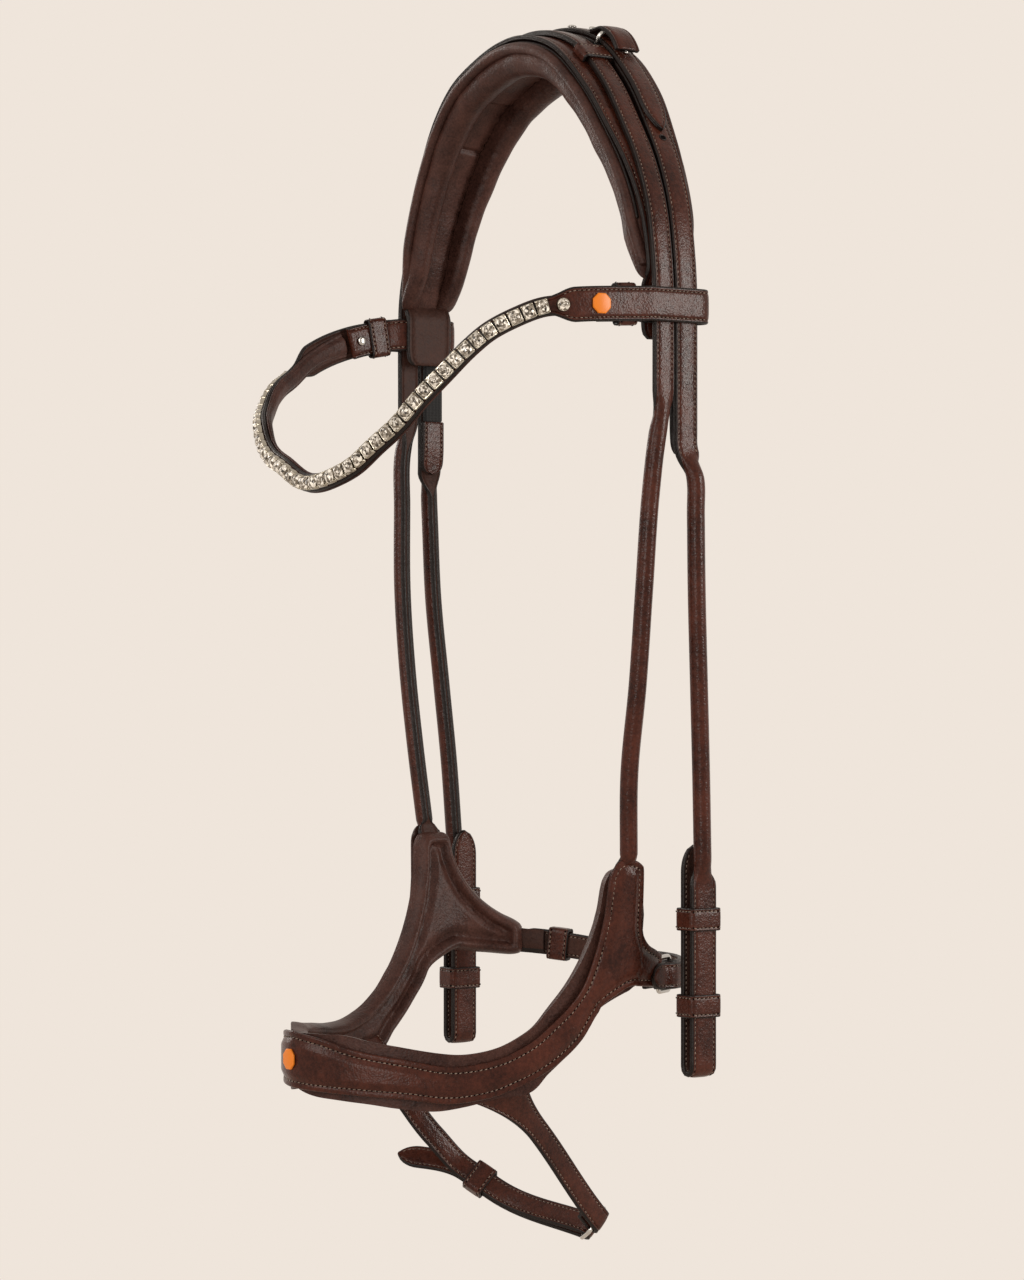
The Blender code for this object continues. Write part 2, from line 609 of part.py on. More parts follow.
def make_crown_fastening(bench: Bench) -> None:
    """Strap end over the cheek strap, with its keeper, its buckle and two studs."""
    base = arch_line(STRAP_END_OFFSET, CHEEK_STRAP_TOP_DROP, CHEEK_STRAP_Y, CHEEK_STRAP_CROWN_Y)
    middle = base.total / 2
    distances, widths = with_ends(STRAP_END_RUN - STRAP_END_START_RUN, 22,
                                  CHEEK_STRAP_WIDTH, 0.0, CHEEK_STRAP_WIDTH / 2)
    ribbon(bench, "crown_strap_end", base.at(middle + STRAP_END_START_RUN + distances), widths, BACK,
           LIGHT_STRAP, "bridle_leather")

    front = arch_line(STRAP_OFFSET, HANGER_FLEX_DROP, NOSE_STRAP_Y, NOSE_STRAP_CROWN_Y)
    run = front.total / 2 + CROWN_KEEPER_RUN
    along = front.tangent(run)
    keeper(bench, "crown_keeper", front.at(run), along, out_of(along),
           NOSE_STRAP_WIDTH + 2 * KEEPER_CLEARANCE, STRAP + 2 * KEEPER_CLEARANCE, CROWN_KEEPER_LENGTH,
           closed=False)

    run = middle + CROWN_BUCKLE_RUN
    place, along = base.at(run), base.tangent(run)
    out = out_of(along)
    across = np.cross(along, out)
    half = CHEEK_STRAP_WIDTH / 2 + KEEPER_CLEARANCE + WIRE / 2
    rise = LIGHT_STRAP / 2 + CROWN_BUCKLE_RISE + WIRE / 2
    foot = STRAP_END_OFFSET - LEATHER - GAP
    turn = np.radians([0.0, 30.0, 60.0, 90.0])[:, None]
    bend = (half - WIRE_CORNER + WIRE_CORNER * np.cos(turn)) * across + (
        rise - WIRE_CORNER + WIRE_CORNER * np.sin(turn)) * out
    other = bend[::-1] - 2 * (bend[::-1] @ across)[:, None] * across
    legs = np.array([half * across - foot * out, -half * across - foot * out])
    wire(bench, "crown_buckle_frame", place + np.concatenate([legs[:1], bend, other, legs[1:]]), WIRE / 2)

    bar = place + rise * out
    tip = base.at(run + WIRE + CROWN_TONGUE_LENGTH) + (
        LIGHT_STRAP / 2 + GAP + CROWN_TONGUE_WIRE / 2) * out_of(base.tangent(run + CROWN_TONGUE_LENGTH))
    bench.pivot("crown_tongue_hinge", bar)
    start = bar + (WIRE / 2 + GAP + CROWN_TONGUE_WIRE / 2) * unit(tip - bar)
    wire(bench, "crown_buckle_tongue", [start, (start + tip) / 2, tip], CROWN_TONGUE_WIRE / 2,
         "crown_tongue_hinge")

    for name, run in STUD_RUNS.items():
        out = out_of(base.tangent(middle + run))
        disc(bench, f"crown_stud_{name}", base.at(middle + run) + (LIGHT_STRAP / 2 + GAP) * out, out,
             STUD_RADIUS, STUD_HEIGHT, 12, STUD_TOP_SHARE, "steel")


# Browband

BROW_X = ARCH_HALF_WIDTH + STRAP_TOP + BROW_LOOP_CLEARANCE + BROW_THICKNESS / 2
BROW_INNER_X = ARCH_HALF_WIDTH - BROW_LOOP_CLEARANCE - BROW_THICKNESS / 2
TAB_DEPTH = BROW_THICKNESS + GAP + KEEPER_WALL + KEEPER_CLEARANCE


def brow_line() -> Route:
    """Middle line of the band across the forehead, from the near straps to the far ones."""
    points = []
    for name, side in SIDES.items():
        half = []
        for wide, dip in BROW_DIP_SHARES[name]:
            reach = (1 - wide ** (2 / BROW_PLAN_SHARE)) ** (BROW_PLAN_SHARE / 2)
            half.append((side * wide * BROW_X, BROW_START_Y - (BROW_REACH + BROW_START_Y) * reach,
                         -BROW_DROP - dip * BROW_DIP))
        points += half[::-1] if side > 0 else half[1:]
    return Route(smooth_path(points, 401))


def brow_frame(route: Route, runs):
    """Places on the band's middle line, with the directions across it and out of it."""
    tangents = route.tangent(runs)
    across = square_to(tangents, UP)
    return route.at(runs), across, np.cross(across, tangents)


def brow_runs(route: Route, side: int, runs):
    """Distances along the whole band of runs that start at the straps of one side."""
    return np.asarray(runs, float) if side > 0 else route.total - np.asarray(runs, float)


def brow_end(route: Route, side: int) -> np.ndarray:
    """Loop round the straps and the tab that lies behind the band, out from the tab's end."""
    start = LEATHER
    tab_runs = np.linspace(BROW_TAB_RUN, BROW_PINCH, 6)
    places, _, outward = brow_frame(route, brow_runs(route, side, tab_runs))
    tab = places - TAB_DEPTH * outward
    turn_y = FLAP_WIDTH / 2
    level = -BROW_DROP
    inner = np.array([[side * BROW_INNER_X, y, level] for y in np.linspace(-turn_y - GAP, turn_y, 4)])
    radius = (BROW_X - BROW_INNER_X) / 2
    turn = u_turn(inner[-1], BACK, np.array([side, 0.0, 0.0]), radius, 8)
    outer = np.array([[side * BROW_X, y, level] for y in (0.0, BROW_START_Y + start)])
    return np.concatenate([tab, inner[:-1], turn, outer])


def make_browband(bench: Bench) -> None:
    bench.pivot("browband_slide", (0.0, 0.0, -BROW_DROP))
    body = "browband_slide"
    route = brow_line()
    runs = np.linspace(0.0, route.total, 61)
    near_end = brow_end(route, 1)
    far_end = brow_end(route, -1)[::-1]
    from_near = runs - CRYSTAL_START["near"]
    from_far = route.total - runs - CRYSTAL_START["far"]
    slim = smooth_step(np.minimum(from_near, from_far) / BROW_TAPER + 1)
    heights = BROW_END_HEIGHT + (BROW_BAND_HEIGHT - BROW_END_HEIGHT) * slim
    points = np.concatenate([near_end, route.at(runs), far_end])
    heights = np.concatenate([np.full(len(near_end), BROW_END_HEIGHT), heights,
                              np.full(len(far_end), BROW_END_HEIGHT)])
    ribbon(bench, "browband", points, heights, UP, BROW_THICKNESS, "bridle_leather", body)

    runs = np.linspace(BROW_TAB_RUN + LEATHER, route.total - BROW_TAB_RUN - LEATHER, 49)
    places, across, outward = brow_frame(route, runs)
    inside = places - (BROW_THICKNESS / 2 + GAP + LINING / 2) * outward
    slim = smooth_step(np.minimum(runs, route.total - runs) / CRYSTAL_START["near"])
    half = (BROW_END_HEIGHT + (LINING_HEIGHT - BROW_END_HEIGHT) * slim)[:, None] / 2
    strip(bench, "browband_lining", inside - across * half, inside + across * half, LINING,
          "soft_leather", body)

    for name, side in SIDES.items():
        place, across, outward = brow_frame(route, brow_runs(route, side, BROW_KEEPER_RUN[name]))
        keeper(bench, f"browband_keeper_{name}", place - outward * TAB_DEPTH, np.cross(outward, across),
               outward, BROW_END_HEIGHT + 2 * KEEPER_CLEARANCE, BROW_THICKNESS + 2 * KEEPER_CLEARANCE,
               BROW_KEEPER_LENGTH, body)
        place, across, outward = brow_frame(route, brow_runs(route, side, BROW_STUD_RUN))
        inner_face = place - outward * (TAB_DEPTH + BROW_THICKNESS / 2 + GAP)
        disc(bench, f"browband_stud_{name}", inner_face, -outward, STUD_RADIUS, STUD_HEIGHT, 12,
             STUD_TOP_SHARE, "steel", body)

    place, across, outward = brow_frame(route, BROW_BADGE_RUN)
    face = BROW_THICKNESS / 2 + GAP
    disc(bench, "browband_badge", place + face * outward, outward, BADGE_RADIUS, BADGE_THICKNESS,
         BADGE_CORNERS, BADGE_TOP_SHARE, "badge", body)
    place, across, outward = brow_frame(route, SINGLE_CRYSTAL_RUN)
    disc(bench, "single_crystal", place + face * outward, outward, SINGLE_CRYSTAL_RADIUS,
         CRYSTAL_HEIGHT, 16, STONE_TOP_SHARE, "crystal", body)
    make_crystal_strip(bench, route, body)


def make_crystal_strip(bench: Bench, route: Route, body: str) -> None:
    """Chain of square cups, each with the blunt top of its stone, on one thin base."""
    start = CRYSTAL_START["near"]
    count = int((route.total - start - CRYSTAL_START["far"]) / CRYSTAL_PITCH)
    cup = CRYSTAL_PITCH - CRYSTAL_GROOVE
    stone = cup * STONE_TOP_SHARE
    low = CRYSTAL_HEIGHT * CUP_HEIGHT_SHARE
    runs, halves, crests, rims = [], [], [], []
    for number in range(count):
        middle = start + (number + 0.5) * CRYSTAL_PITCH
        for away, half, crest, rim in (
                (-CRYSTAL_PITCH / 2, CRYSTAL_BASE_WIDTH / 2, CRYSTAL_BASE, CRYSTAL_BASE),
                (-cup / 2, CRYSTAL_WIDTH / 2, low, low), (-stone / 2, CRYSTAL_WIDTH / 2, CRYSTAL_HEIGHT, low),
                (stone / 2, CRYSTAL_WIDTH / 2, CRYSTAL_HEIGHT, low), (cup / 2, CRYSTAL_WIDTH / 2, low, low)):
            runs.append(middle + away)
            halves.append(half)
            crests.append(crest)
            rims.append(rim)
    halves, crests, rims = (np.array(values)[:, None] for values in (halves, crests, rims))
    places, across, outward = brow_frame(route, np.array(runs))
    base = places + (BROW_THICKNESS / 2 + GAP) * outward
    inset = np.where(crests > rims, stone / 2, halves * STONE_TOP_SHARE)
    rings = np.stack([base - halves * across, base + halves * across,
                      base + halves * across + rims * outward, base + inset * across + crests * outward,
                      base - inset * across + crests * outward, base - halves * across + rims * outward], 1)
    mesh = lofted_mesh("crystal_strip", rings)
    mesh.shade_flat()
    bench.add("crystal_strip", mesh, "crystal", body)


# Cheekpieces

LEG_TURN = (BILLET_THICKNESS + BILLET_SPACE) / 2


def cheek_route(side: int) -> Route:
    """Down from the flex below the headpiece, round the billet's fold and up to its tip."""
    strap_x = ARCH_HALF_WIDTH + STRAP_OFFSET
    top = np.array([strap_x, CHEEK_STRAP_Y, -CHEEK_FLEX_DROP - GAP])
    roll = np.array([CHEEK_X, CHEEK_Y, -ROLL_START_DROP])
    foot = np.array([BILLET_X, BILLET_Y, -BILLET_TOP_DROP])
    points = [top, top * [1, 1, 0] - UP * (CHEEK_FLEX_DROP + CHEEK_STRAP_WIDTH / 2)]
    points.append(roll)
    for down, aside in CHEEK_DRAW_SHARES:
        points.append(roll + (foot - roll) * [aside, aside, down])
    leg = foot - UP * (BILLET_DROP - BILLET_THICKNESS / 2 - LEG_TURN - BILLET_TOP_DROP)
    points += [foot, (foot + leg) / 2]
    upper = smooth_path(points, 241)
    fold = u_turn(leg, -UP, np.array([-1.0, 0.0, 0.0]), LEG_TURN, 16)
    tip = fold[-1] + UP * (BILLET_DROP - BILLET_THICKNESS / 2 - LEG_TURN - BILLET_TIP_DROP)
    return Route(np.concatenate([upper, fold, [(fold[-1] + tip) / 2, tip]]) * [side, 1, 1])


def make_cheekpiece(bench: Bench, name: str, side: int) -> None:
    stretch, swing, runner = f"cheek_stretch_{name}", f"cheek_swing_{name}", f"runner_slide_{name}"
    strap_x = side * (ARCH_HALF_WIDTH + STRAP_OFFSET)
    bench.pivot(stretch, (strap_x, CHEEK_STRAP_Y, -CHEEK_STRAP_TOP_DROP))
    bench.pivot(swing, (strap_x, CHEEK_STRAP_Y, -CHEEK_FLEX_DROP - GAP - CHEEK_STRAP_WIDTH / 2))
    bench.pivot(runner, (side * (BILLET_X - LEG_TURN), BILLET_Y, -RUNNER_DROP))

    drops = np.linspace(CHEEK_STRAP_TOP_DROP, CHEEK_FLEX_DROP, 4)
    points = np.array([[strap_x, CHEEK_STRAP_Y, -drop] for drop in drops])
    ribbon(bench, f"cheek_strap_{name}", points, CHEEK_STRAP_WIDTH, BACK, STRAP, "bridle_leather", stretch)
    behind = side * (ARCH_HALF_WIDTH + LEATHER / 2)
    drops = np.linspace(ELASTIC_DROP + GAP, CHEEK_FLEX_DROP, 3)
    points = np.array([[behind, CHEEK_STRAP_Y, -drop] for drop in drops])
    ribbon(bench, f"cheek_strap_backing_{name}", points, CHEEK_STRAP_WIDTH, BACK, LEATHER,
           "bridle_leather", stretch)
    drops = np.linspace(FLAP_DROP + GAP, ELASTIC_DROP, 4)
    points = np.array([[behind, CHEEK_STRAP_Y, -drop] for drop in drops])
    ribbon(bench, f"cheek_elastic_{name}", points, ELASTIC_WIDTH, BACK, ELASTIC, "elastic")

    route = cheek_route(side)
    lead, lead_widths = round_end(CHEEK_STRAP_WIDTH / 2)
    width = 2 * ROLL_RADIUS
    sections = [(d, w, STRAP, FLAT_POWER) for d, w in zip(lead, lead_widths)]
    roll = route.at_drop(ROLL_START_DROP)
    sections.append((roll - ROLL_TAPER, CHEEK_STRAP_WIDTH, STRAP, FLAT_POWER))
    sections.append((roll - ROLL_TAPER / 2, (CHEEK_STRAP_WIDTH + width) / 2, (STRAP + width) / 2, SOFT_POWER))
    end = route.at_drop(BILLET_TOP_DROP)
    for distance in np.linspace(roll, end - ROLL_TAPER, 9):
        sections.append((distance, width, width, ROUND_POWER))
    sections.append((end - ROLL_TAPER / 2, (BILLET_WIDTH + width) / 2, (BILLET_THICKNESS + width) / 2,
                     SOFT_POWER))
    fold = route.total - BILLET_DROP + BILLET_TIP_DROP + BILLET_THICKNESS / 2 + LEG_TURN
    turn = np.linspace(fold - np.pi * LEG_TURN, fold, 7)
    tip, tip_widths = round_end(BILLET_WIDTH / 2)
    flat = np.concatenate([[end, (end + turn[0]) / 2], turn, route.total - tip[::-1]])
    widths = np.concatenate([np.full(len(turn) + 2, BILLET_WIDTH), tip_widths[::-1]])
    sections += [(d, w, BILLET_THICKNESS, FLAT_POWER) for d, w in zip(flat, widths)]
    rolled(bench, f"cheekpiece_{name}", route, sections, swing)

    middle_x = side * (BILLET_X - LEG_TURN)
    for part, drop, body in (("upper_keeper", UPPER_KEEPER_DROP, swing), ("runner", RUNNER_DROP, runner)):
        keeper(bench, f"billet_{part}_{name}", (middle_x, BILLET_Y, -drop), UP, (side, 0.0, 0.0),
               BILLET_WIDTH + 2 * KEEPER_CLEARANCE,
               2 * (BILLET_THICKNESS + KEEPER_CLEARANCE) + BILLET_SPACE, BILLET_KEEPER_LENGTH, body)
    stud_x = BILLET_X - 2 * LEG_TURN - BILLET_THICKNESS / 2 - GAP
    stud = (side * stud_x, BILLET_Y, -BILLET_TIP_DROP - BILLET_STUD_BELOW_TIP)
    disc(bench, f"billet_stud_{name}", stud, (-side, 0.0, 0.0), STUD_RADIUS, STUD_HEIGHT, 12,
         STUD_TOP_SHARE, "steel", swing)


# Noseband

def nose_wall(angles, drops, side: int, offset: float = 0.0):
    """Places on the noseband's middle surface, this far out of it, and the ways out of it."""
    angles, drops = np.broadcast_arrays(np.atleast_1d(np.asarray(angles, float)), drops)
    front = np.radians(np.minimum(angles, 90.0))
    rear = np.radians(np.maximum(angles - 90.0, 0.0))
    behind = angles > 90.0
    hub = NOSE_HALF_WIDTH - NOSE_REAR_RADIUS
    wide, long = np.sin(front) ** NOSE_PLAN_SHARE, np.cos(front) ** NOSE_PLAN_SHARE
    x = np.where(behind, hub + NOSE_REAR_RADIUS * np.cos(rear), NOSE_HALF_WIDTH * wide)
    y = np.where(behind, NOSE_REAR_RADIUS * np.sin(rear), -NOSE_REACH * long) + NOSE_Y
    top = NOSE_DROP - NOSE_RISE
    lean = np.clip((NOSE_FLARE_DROP - drops) / (NOSE_FLARE_DROP - top), 0.0, 1.2)
    x = x + NOSE_FLARE * lean * np.sin(front) * np.cos(np.minimum(3 * rear, np.pi / 2))
    power = 2 / NOSE_PLAN_SHARE - 1
    out_x = np.where(behind, np.cos(rear), wide ** power / NOSE_HALF_WIDTH)
    out_y = np.where(behind, np.sin(rear), -long ** power / NOSE_REACH)
    out = unit(np.stack([side * out_x, out_y, 0 * x], -1))
    rise = NOSE_FAR_RISE * np.maximum(-side * x, 0.0) / NOSE_HALF_WIDTH
    return np.stack([side * x, y, rise - drops], -1) + offset * out, out


def nose_edges(shares, angles):
    """Drops of the upper and lower edges at these angles."""
    table = np.array(shares)
    return [NOSE_DROP - NOSE_RISE * np.interp(angles, table[:, 0], table[:, k]) for k in (1, 2)]


def nose_columns(last: float) -> np.ndarray:
    """Angles of the columns that the leather and the pad share, up to the last one of a piece."""
    angles = np.array(NOSE_COLUMN_ANGLES)
    return np.append(angles[angles < last - 1.0], last)


def make_noseband(bench: Bench) -> None:
    body = "noseband_swing"
    flex = np.array([0.0, NOSE_STRAP_Y, -HANGER_FLEX_DROP - GAP - NOSE_STRAP_WIDTH / 2])
    bench.pivot(body, flex)
    for name, side in SIDES.items():
        make_hanger(bench, name, side, flex, body)

    tops, bottoms = [], []
    for name, side in (("far", -1), ("near", 1)):
        angles = nose_columns(NOSE_END_ANGLE[name])
        if side < 0:
            angles = angles[:0:-1]
        upper, lower = nose_edges(NOSE_SHARES, angles)
        tops.append(nose_wall(angles, upper, side)[0])
        bottoms.append(nose_wall(angles, lower, side)[0])
    end = nose_wall(NOSE_END_ANGLE["near"], jaw_drop(), 1)[0]
    turn = np.concatenate([end, jaw_fold(LEATHER, FOLD_RADIUS, 1)[1]])
    half = UP * JAW_STRAP_WIDTH / 2
    top = np.concatenate([tops[0], tops[1][:-1], turn + half])
    bottom = np.concatenate([bottoms[0], bottoms[1][:-1], turn - half])
    strip(bench, "noseband", top, bottom, LEATHER, "bridle_leather", body)
    make_noseband_pad(bench, body)

    middle = np.mean(nose_edges(NOSE_SHARES, 0.0))
    place, out = nose_wall(0.0, middle, 1, LEATHER / 2 + GAP)
    badge = disc(bench, "noseband_badge", place[0], out[0],
                 NOSE_BADGE_HEIGHT / 2, BADGE_THICKNESS, BADGE_CORNERS, BADGE_TOP_SHARE, "badge", body)
    badge.data.transform(Matrix.Diagonal((NOSE_BADGE_WIDTH / NOSE_BADGE_HEIGHT, 1.0, 1.0, 1.0)))


def make_noseband_pad(bench: Bench, body: str) -> None:
    """Pad inside the noseband: a roll along each edge and a channel between them."""
    section = cushion_section(PAD_ROLL_SHARE, PAD_PANEL_SHARE)
    rings = []
    for name, side in (("far", -1), ("near", 1)):
        angles = nose_columns(NOSE_PAD_END_ANGLE[name])
        if side < 0:
            angles = angles[:0:-1]
        upper, lower = nose_edges(NOSE_PAD_SHARES, angles)
        drops = (upper + lower)[:, None] / 2 - section[:, 0] * (lower - upper)[:, None]
        places, out = nose_wall(angles[:, None], drops, side, -LEATHER / 2 - NOSE_PAD_CLEARANCE)
        rings.append(places - (section[:, 1] * NOSE_PAD_THICKNESS)[:, None] * out)
    bench.add("noseband_pad", lofted_mesh("noseband_pad", np.concatenate(rings)), "soft_leather", body)


def make_hanger(bench: Bench, name: str, side: int, flex: np.ndarray, body: str) -> None:
    """Rolled strap from the flex below the browband down to the noseband's side arm."""
    top = np.array([ARCH_HALF_WIDTH + STRAP_OFFSET, NOSE_STRAP_Y, -HANGER_FLEX_DROP - GAP])
    roll = np.array([top[0], NOSE_STRAP_Y - HANGER_BELLY, -HANGER_ROLL_DROP])
    top_edge, _ = nose_edges(NOSE_SHARES, HANGER_FOOT_ANGLE)
    foot = nose_wall(HANGER_FOOT_ANGLE, top_edge - GAP, side)[0][0] * [side, 1, 1]
    points = [top, top - UP * NOSE_STRAP_WIDTH / 2, roll]
    for down, aside, belly in HANGER_DRAW_SHARES:
        place = roll + (foot - roll) * [aside, aside, down]
        points.append(place - BACK * HANGER_BELLY * belly)
    points.append(foot)
    route = Route(smooth_path(points, 241) * [side, 1, 1])
    lead, lead_widths = round_end(NOSE_STRAP_WIDTH / 2)
    width = 2 * ROLL_RADIUS
    start = route.at_drop(HANGER_ROLL_DROP)
    sections = [(d, w, STRAP, FLAT_POWER) for d, w in zip(lead, lead_widths)]
    sections.append((start - ROLL_TAPER / 2, (NOSE_STRAP_WIDTH + width) / 2, (STRAP + width) / 2, SOFT_POWER))
    for distance in np.linspace(start, route.total - ROLL_TAPER, 9):
        sections.append((distance, width, width, ROUND_POWER))
    sections.append((route.total, NOSE_STRAP_WIDTH, LEATHER, FLAT_POWER))
    rolled(bench, f"noseband_hanger_{name}", route, sections, body)


# Jaw strap

FOLD_RADIUS = WIRE / 2 + GAP + LEATHER / 2
LIGHT_FOLD_RADIUS = WIRE / 2 + GAP + LIGHT_STRAP / 2


def jaw_drop() -> float:
    """Depth of the jaw strap's middle: level with the rear ends of the noseband."""
    return NOSE_DROP - NOSE_RISE * (NOSE_SHARES[-1][1] + NOSE_SHARES[-1][2]) / 2


def jaw_fold(run: float, radius: float, way: int) -> tuple:
    """Leather folded inward round a bar, this far along the wall from the noseband's near end.

    Gives the bar's middle and the fold's points; the way is 1 for leather that ends rearwards."""
    angle = NOSE_END_ANGLE["near"] + np.degrees(run / NOSE_REAR_RADIUS)
    place, out = nose_wall(angle, jaw_drop(), 1)
    ahead = np.cross(UP, out[0]) * way
    fold = u_turn(place[0], ahead, -out[0], radius)
    return place[0] - out[0] * radius, np.concatenate([fold, [fold[-1] - ahead * FOLD_TAIL]]), angle


def make_jaw_strap(bench: Bench) -> None:
    body = "noseband_swing"
    drop = jaw_drop()
    front_bar, _, _ = jaw_fold(LEATHER, FOLD_RADIUS, 1)
    rear_bar, fold, last = jaw_fold(LEATHER + RING_LENGTH, LIGHT_FOLD_RADIUS, -1)
    half = JAW_STRAP_WIDTH / 2 + 2 * KEEPER_CLEARANCE + WIRE / 2
    length = np.linalg.norm(rear_bar - front_bar)
    frame = ring_points((front_bar + rear_bar) / 2, unit(rear_bar - front_bar), UP, length / 2, half)
    wire(bench, "jaw_buckle_frame", frame, WIRE / 2, body, cyclic=True)

    angles = np.linspace(JAW_START_ANGLE, 180.0, 12)
    lift = LEATHER / 2 + GAP + LIGHT_STRAP / 2
    share = 1 - smooth_step((angles - NOSE_END_ANGLE["far"]) / (JAW_MEET_ANGLE - NOSE_END_ANGLE["far"]))
    places, out_far = nose_wall(angles, drop, -1)
    far = places + out_far * (lift * share)[:, None]
    near = nose_wall(np.linspace(180.0, last, 10), drop, 1)[0][1:-1]
    points = np.concatenate([far, near, fold])
    ribbon(bench, "jaw_strap", points, JAW_STRAP_WIDTH, UP, LIGHT_STRAP, "bridle_leather", body)

    spots = JAW_KEEPER_ANGLE + np.array([-2.0, 0.0, 2.0])
    places, out_far = nose_wall(spots, drop, -1, lift / 2)
    keeper(bench, "jaw_keeper", places[1], places[2] - places[0], out_far[1],
           JAW_STRAP_WIDTH + 2 * KEEPER_CLEARANCE, LIGHT_STRAP + lift + 2 * KEEPER_CLEARANCE,
           JAW_KEEPER_LENGTH, body)


# Chin strap

def chin_root(side: int) -> tuple:
    """Middle of an arm's upper edge, just below the noseband, and the line of that edge."""
    angles = CHIN_ARM_ANGLE + CHIN_ROOT_SPREAD * np.linspace(-1.0, 1.0, 9)
    _, edge = nose_edges(NOSE_SHARES, angles)
    places, _ = nose_wall(angles, edge, side)
    line = places[-1] - places[0]
    level = np.linspace(places[0, 2], places[-1, 2], len(places))
    bulge = np.max(level - places[:, 2])
    return (places[0] + places[-1]) / 2 - UP * (bulge + GAP + LIGHT_STRAP / 2), line


def arm_half(root, end, line, across, count: int) -> tuple:
    """Middle line of an arm from its root, and its half width, along the noseband and then across."""
    way = unit(end - root)
    share = np.linspace(0.0, 1.0, count)[:, None]
    bow = 27 / 4 * share * (1 - share) ** 2 * CHIN_ARM_BOW
    points = root + (end - root) * share + bow * square_to(way, BACK)
    from_root = np.linalg.norm(points - root, axis=1)
    flare = np.clip(1 - from_root / CHIN_ARM_TAPER, 0.0, 1.0)[:, None]
    square = square_to(line_tangents(points), across) * CHIN_STRAP_WIDTH / 2
    if line @ square[0] < 0:
        line = -line
    return points, square + (line / 2 - square) * flare ** 2


def make_chin_strap(bench: Bench) -> None:
    """Arms below the noseband, joined under the chin by a strap doubled through a ring."""
    body = "chin_swing"
    roots, lines = zip(*(chin_root(side) for side in SIDES.values()))
    bench.pivot(body, roots[0] * [0, 1, 1])

    ring = np.array([CHIN_RING_X, CHIN_RING_Y, -CHIN_RING_DROP])
    hold = np.array([CHIN_KEEPER_X, CHIN_KEEPER_Y, -CHIN_KEEPER_DROP])
    arm_way, strap_way = unit(ring - roots[0]), unit(hold - ring)
    across = unit(np.cross(arm_way, strap_way))
    ring_way = unit(arm_way + strap_way)
    arm_bar, strap_bar = ring - ring_way * RING_LENGTH / 2, ring + ring_way * RING_LENGTH / 2
    half = CHIN_STRAP_WIDTH / 2 + KEEPER_CLEARANCE + WIRE / 2
    wire(bench, "chin_ring", ring_points(ring, ring_way, across, RING_LENGTH / 2, half), WIRE / 2, body,
         cyclic=True)

    inside = np.cross(arm_way, across)
    if inside @ (np.mean(roots, axis=0) - ring) < 0:
        inside = -inside
    end = arm_bar - inside * LIGHT_FOLD_RADIUS
    points, halves = arm_half(roots[0], end, lines[0], across, 12)
    fold = u_turn(end, arm_way, inside, LIGHT_FOLD_RADIUS)
    fold = np.concatenate([fold[1:], [fold[-1] - arm_way * FOLD_TAIL]])
    points = np.concatenate([points, fold])
    halves = np.concatenate([halves, np.repeat(halves[-1:], len(fold), axis=0)])
    strip(bench, "chin_arm_near", points - halves, points + halves, LIGHT_STRAP, "bridle_leather", body)

    out_strap = np.cross(across, strap_way)
    if out_strap @ (np.mean(roots, axis=0) - ring) > 0:
        out_strap = -out_strap
    spread = (LIGHT_STRAP + GAP) / 2
    hold_way = unit(unit(roots[1] - hold) + unit(hold - ring))
    out_hold = square_to(hold_way, out_strap)
    inner_end = strap_bar - out_strap * LIGHT_FOLD_RADIUS
    lower = Route(smooth_path([strap_bar + out_strap * LIGHT_FOLD_RADIUS,
                               hold + out_hold * spread - hold_way * CHIN_KEEPER_LENGTH,
                               hold + out_hold * spread,
                               hold + out_hold * spread + hold_way * CHIN_KEEPER_LENGTH,
                               np.array([CHIN_TIP_X, CHIN_TIP_Y, -CHIN_TIP_DROP])], 60))
    distances, widths = with_ends(lower.total, 14, CHIN_STRAP_WIDTH, 0.0, CHIN_STRAP_WIDTH / 2)
    fold = u_turn(lower.points[0], -strap_way, -out_strap, LIGHT_FOLD_RADIUS)
    inner_hold = hold - out_hold * spread
    leave = inner_hold + hold_way * CHIN_KEEPER_LENGTH
    upper = smooth_path([inner_end, inner_hold - hold_way * CHIN_KEEPER_LENGTH, inner_hold, leave,
                         leave + (roots[1] - leave) / 4], 24)
    points = np.concatenate([lower.at(distances)[::-1], fold[1:], upper[1:-1]])
    widths = np.concatenate([widths[::-1], np.full(len(points) - len(widths), CHIN_STRAP_WIDTH)])
    halves = square_to(line_tangents(points), across) * widths[:, None] / 2
    arm, arm_halves = arm_half(roots[1], upper[-1], lines[1], across, 10)
    if arm_halves[-1] @ halves[-1] < 0:
        arm_halves = -arm_halves
    points = np.concatenate([points, arm[::-1]])
    halves = np.concatenate([halves, arm_halves[::-1]])
    strip(bench, "chin_strap", points - halves, points + halves, LIGHT_STRAP, "bridle_leather", body)

    keeper(bench, "chin_keeper", hold, hold_way, out_hold, CHIN_STRAP_WIDTH + 2 * KEEPER_CLEARANCE,
           2 * LIGHT_STRAP + GAP + 2 * KEEPER_CLEARANCE, CHIN_KEEPER_LENGTH, body)


def main() -> None:
    clear_scene()
    bench = Bench()
    make_headpiece(bench)
    make_crown_fastening(bench)
    make_browband(bench)
    for name, side in SIDES.items():
        make_cheekpiece(bench, name, side)
    make_noseband(bench)
    make_jaw_strap(bench)
    make_chin_strap(bench)
    bpy.context.view_layer.update()


main()
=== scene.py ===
"""Horse bridle, dressed: waxed leather, soft padding, stitching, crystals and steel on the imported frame.

Metres, +Z up, origin on the underside of the poll pad. +X is the horse's near side, -Y is towards its nose.
Drops are depths below the poll. A strap is a section carried along a path, flat, rolled or between.
"""

import logging
from dataclasses import dataclass
from enum import Enum
from functools import cached_property

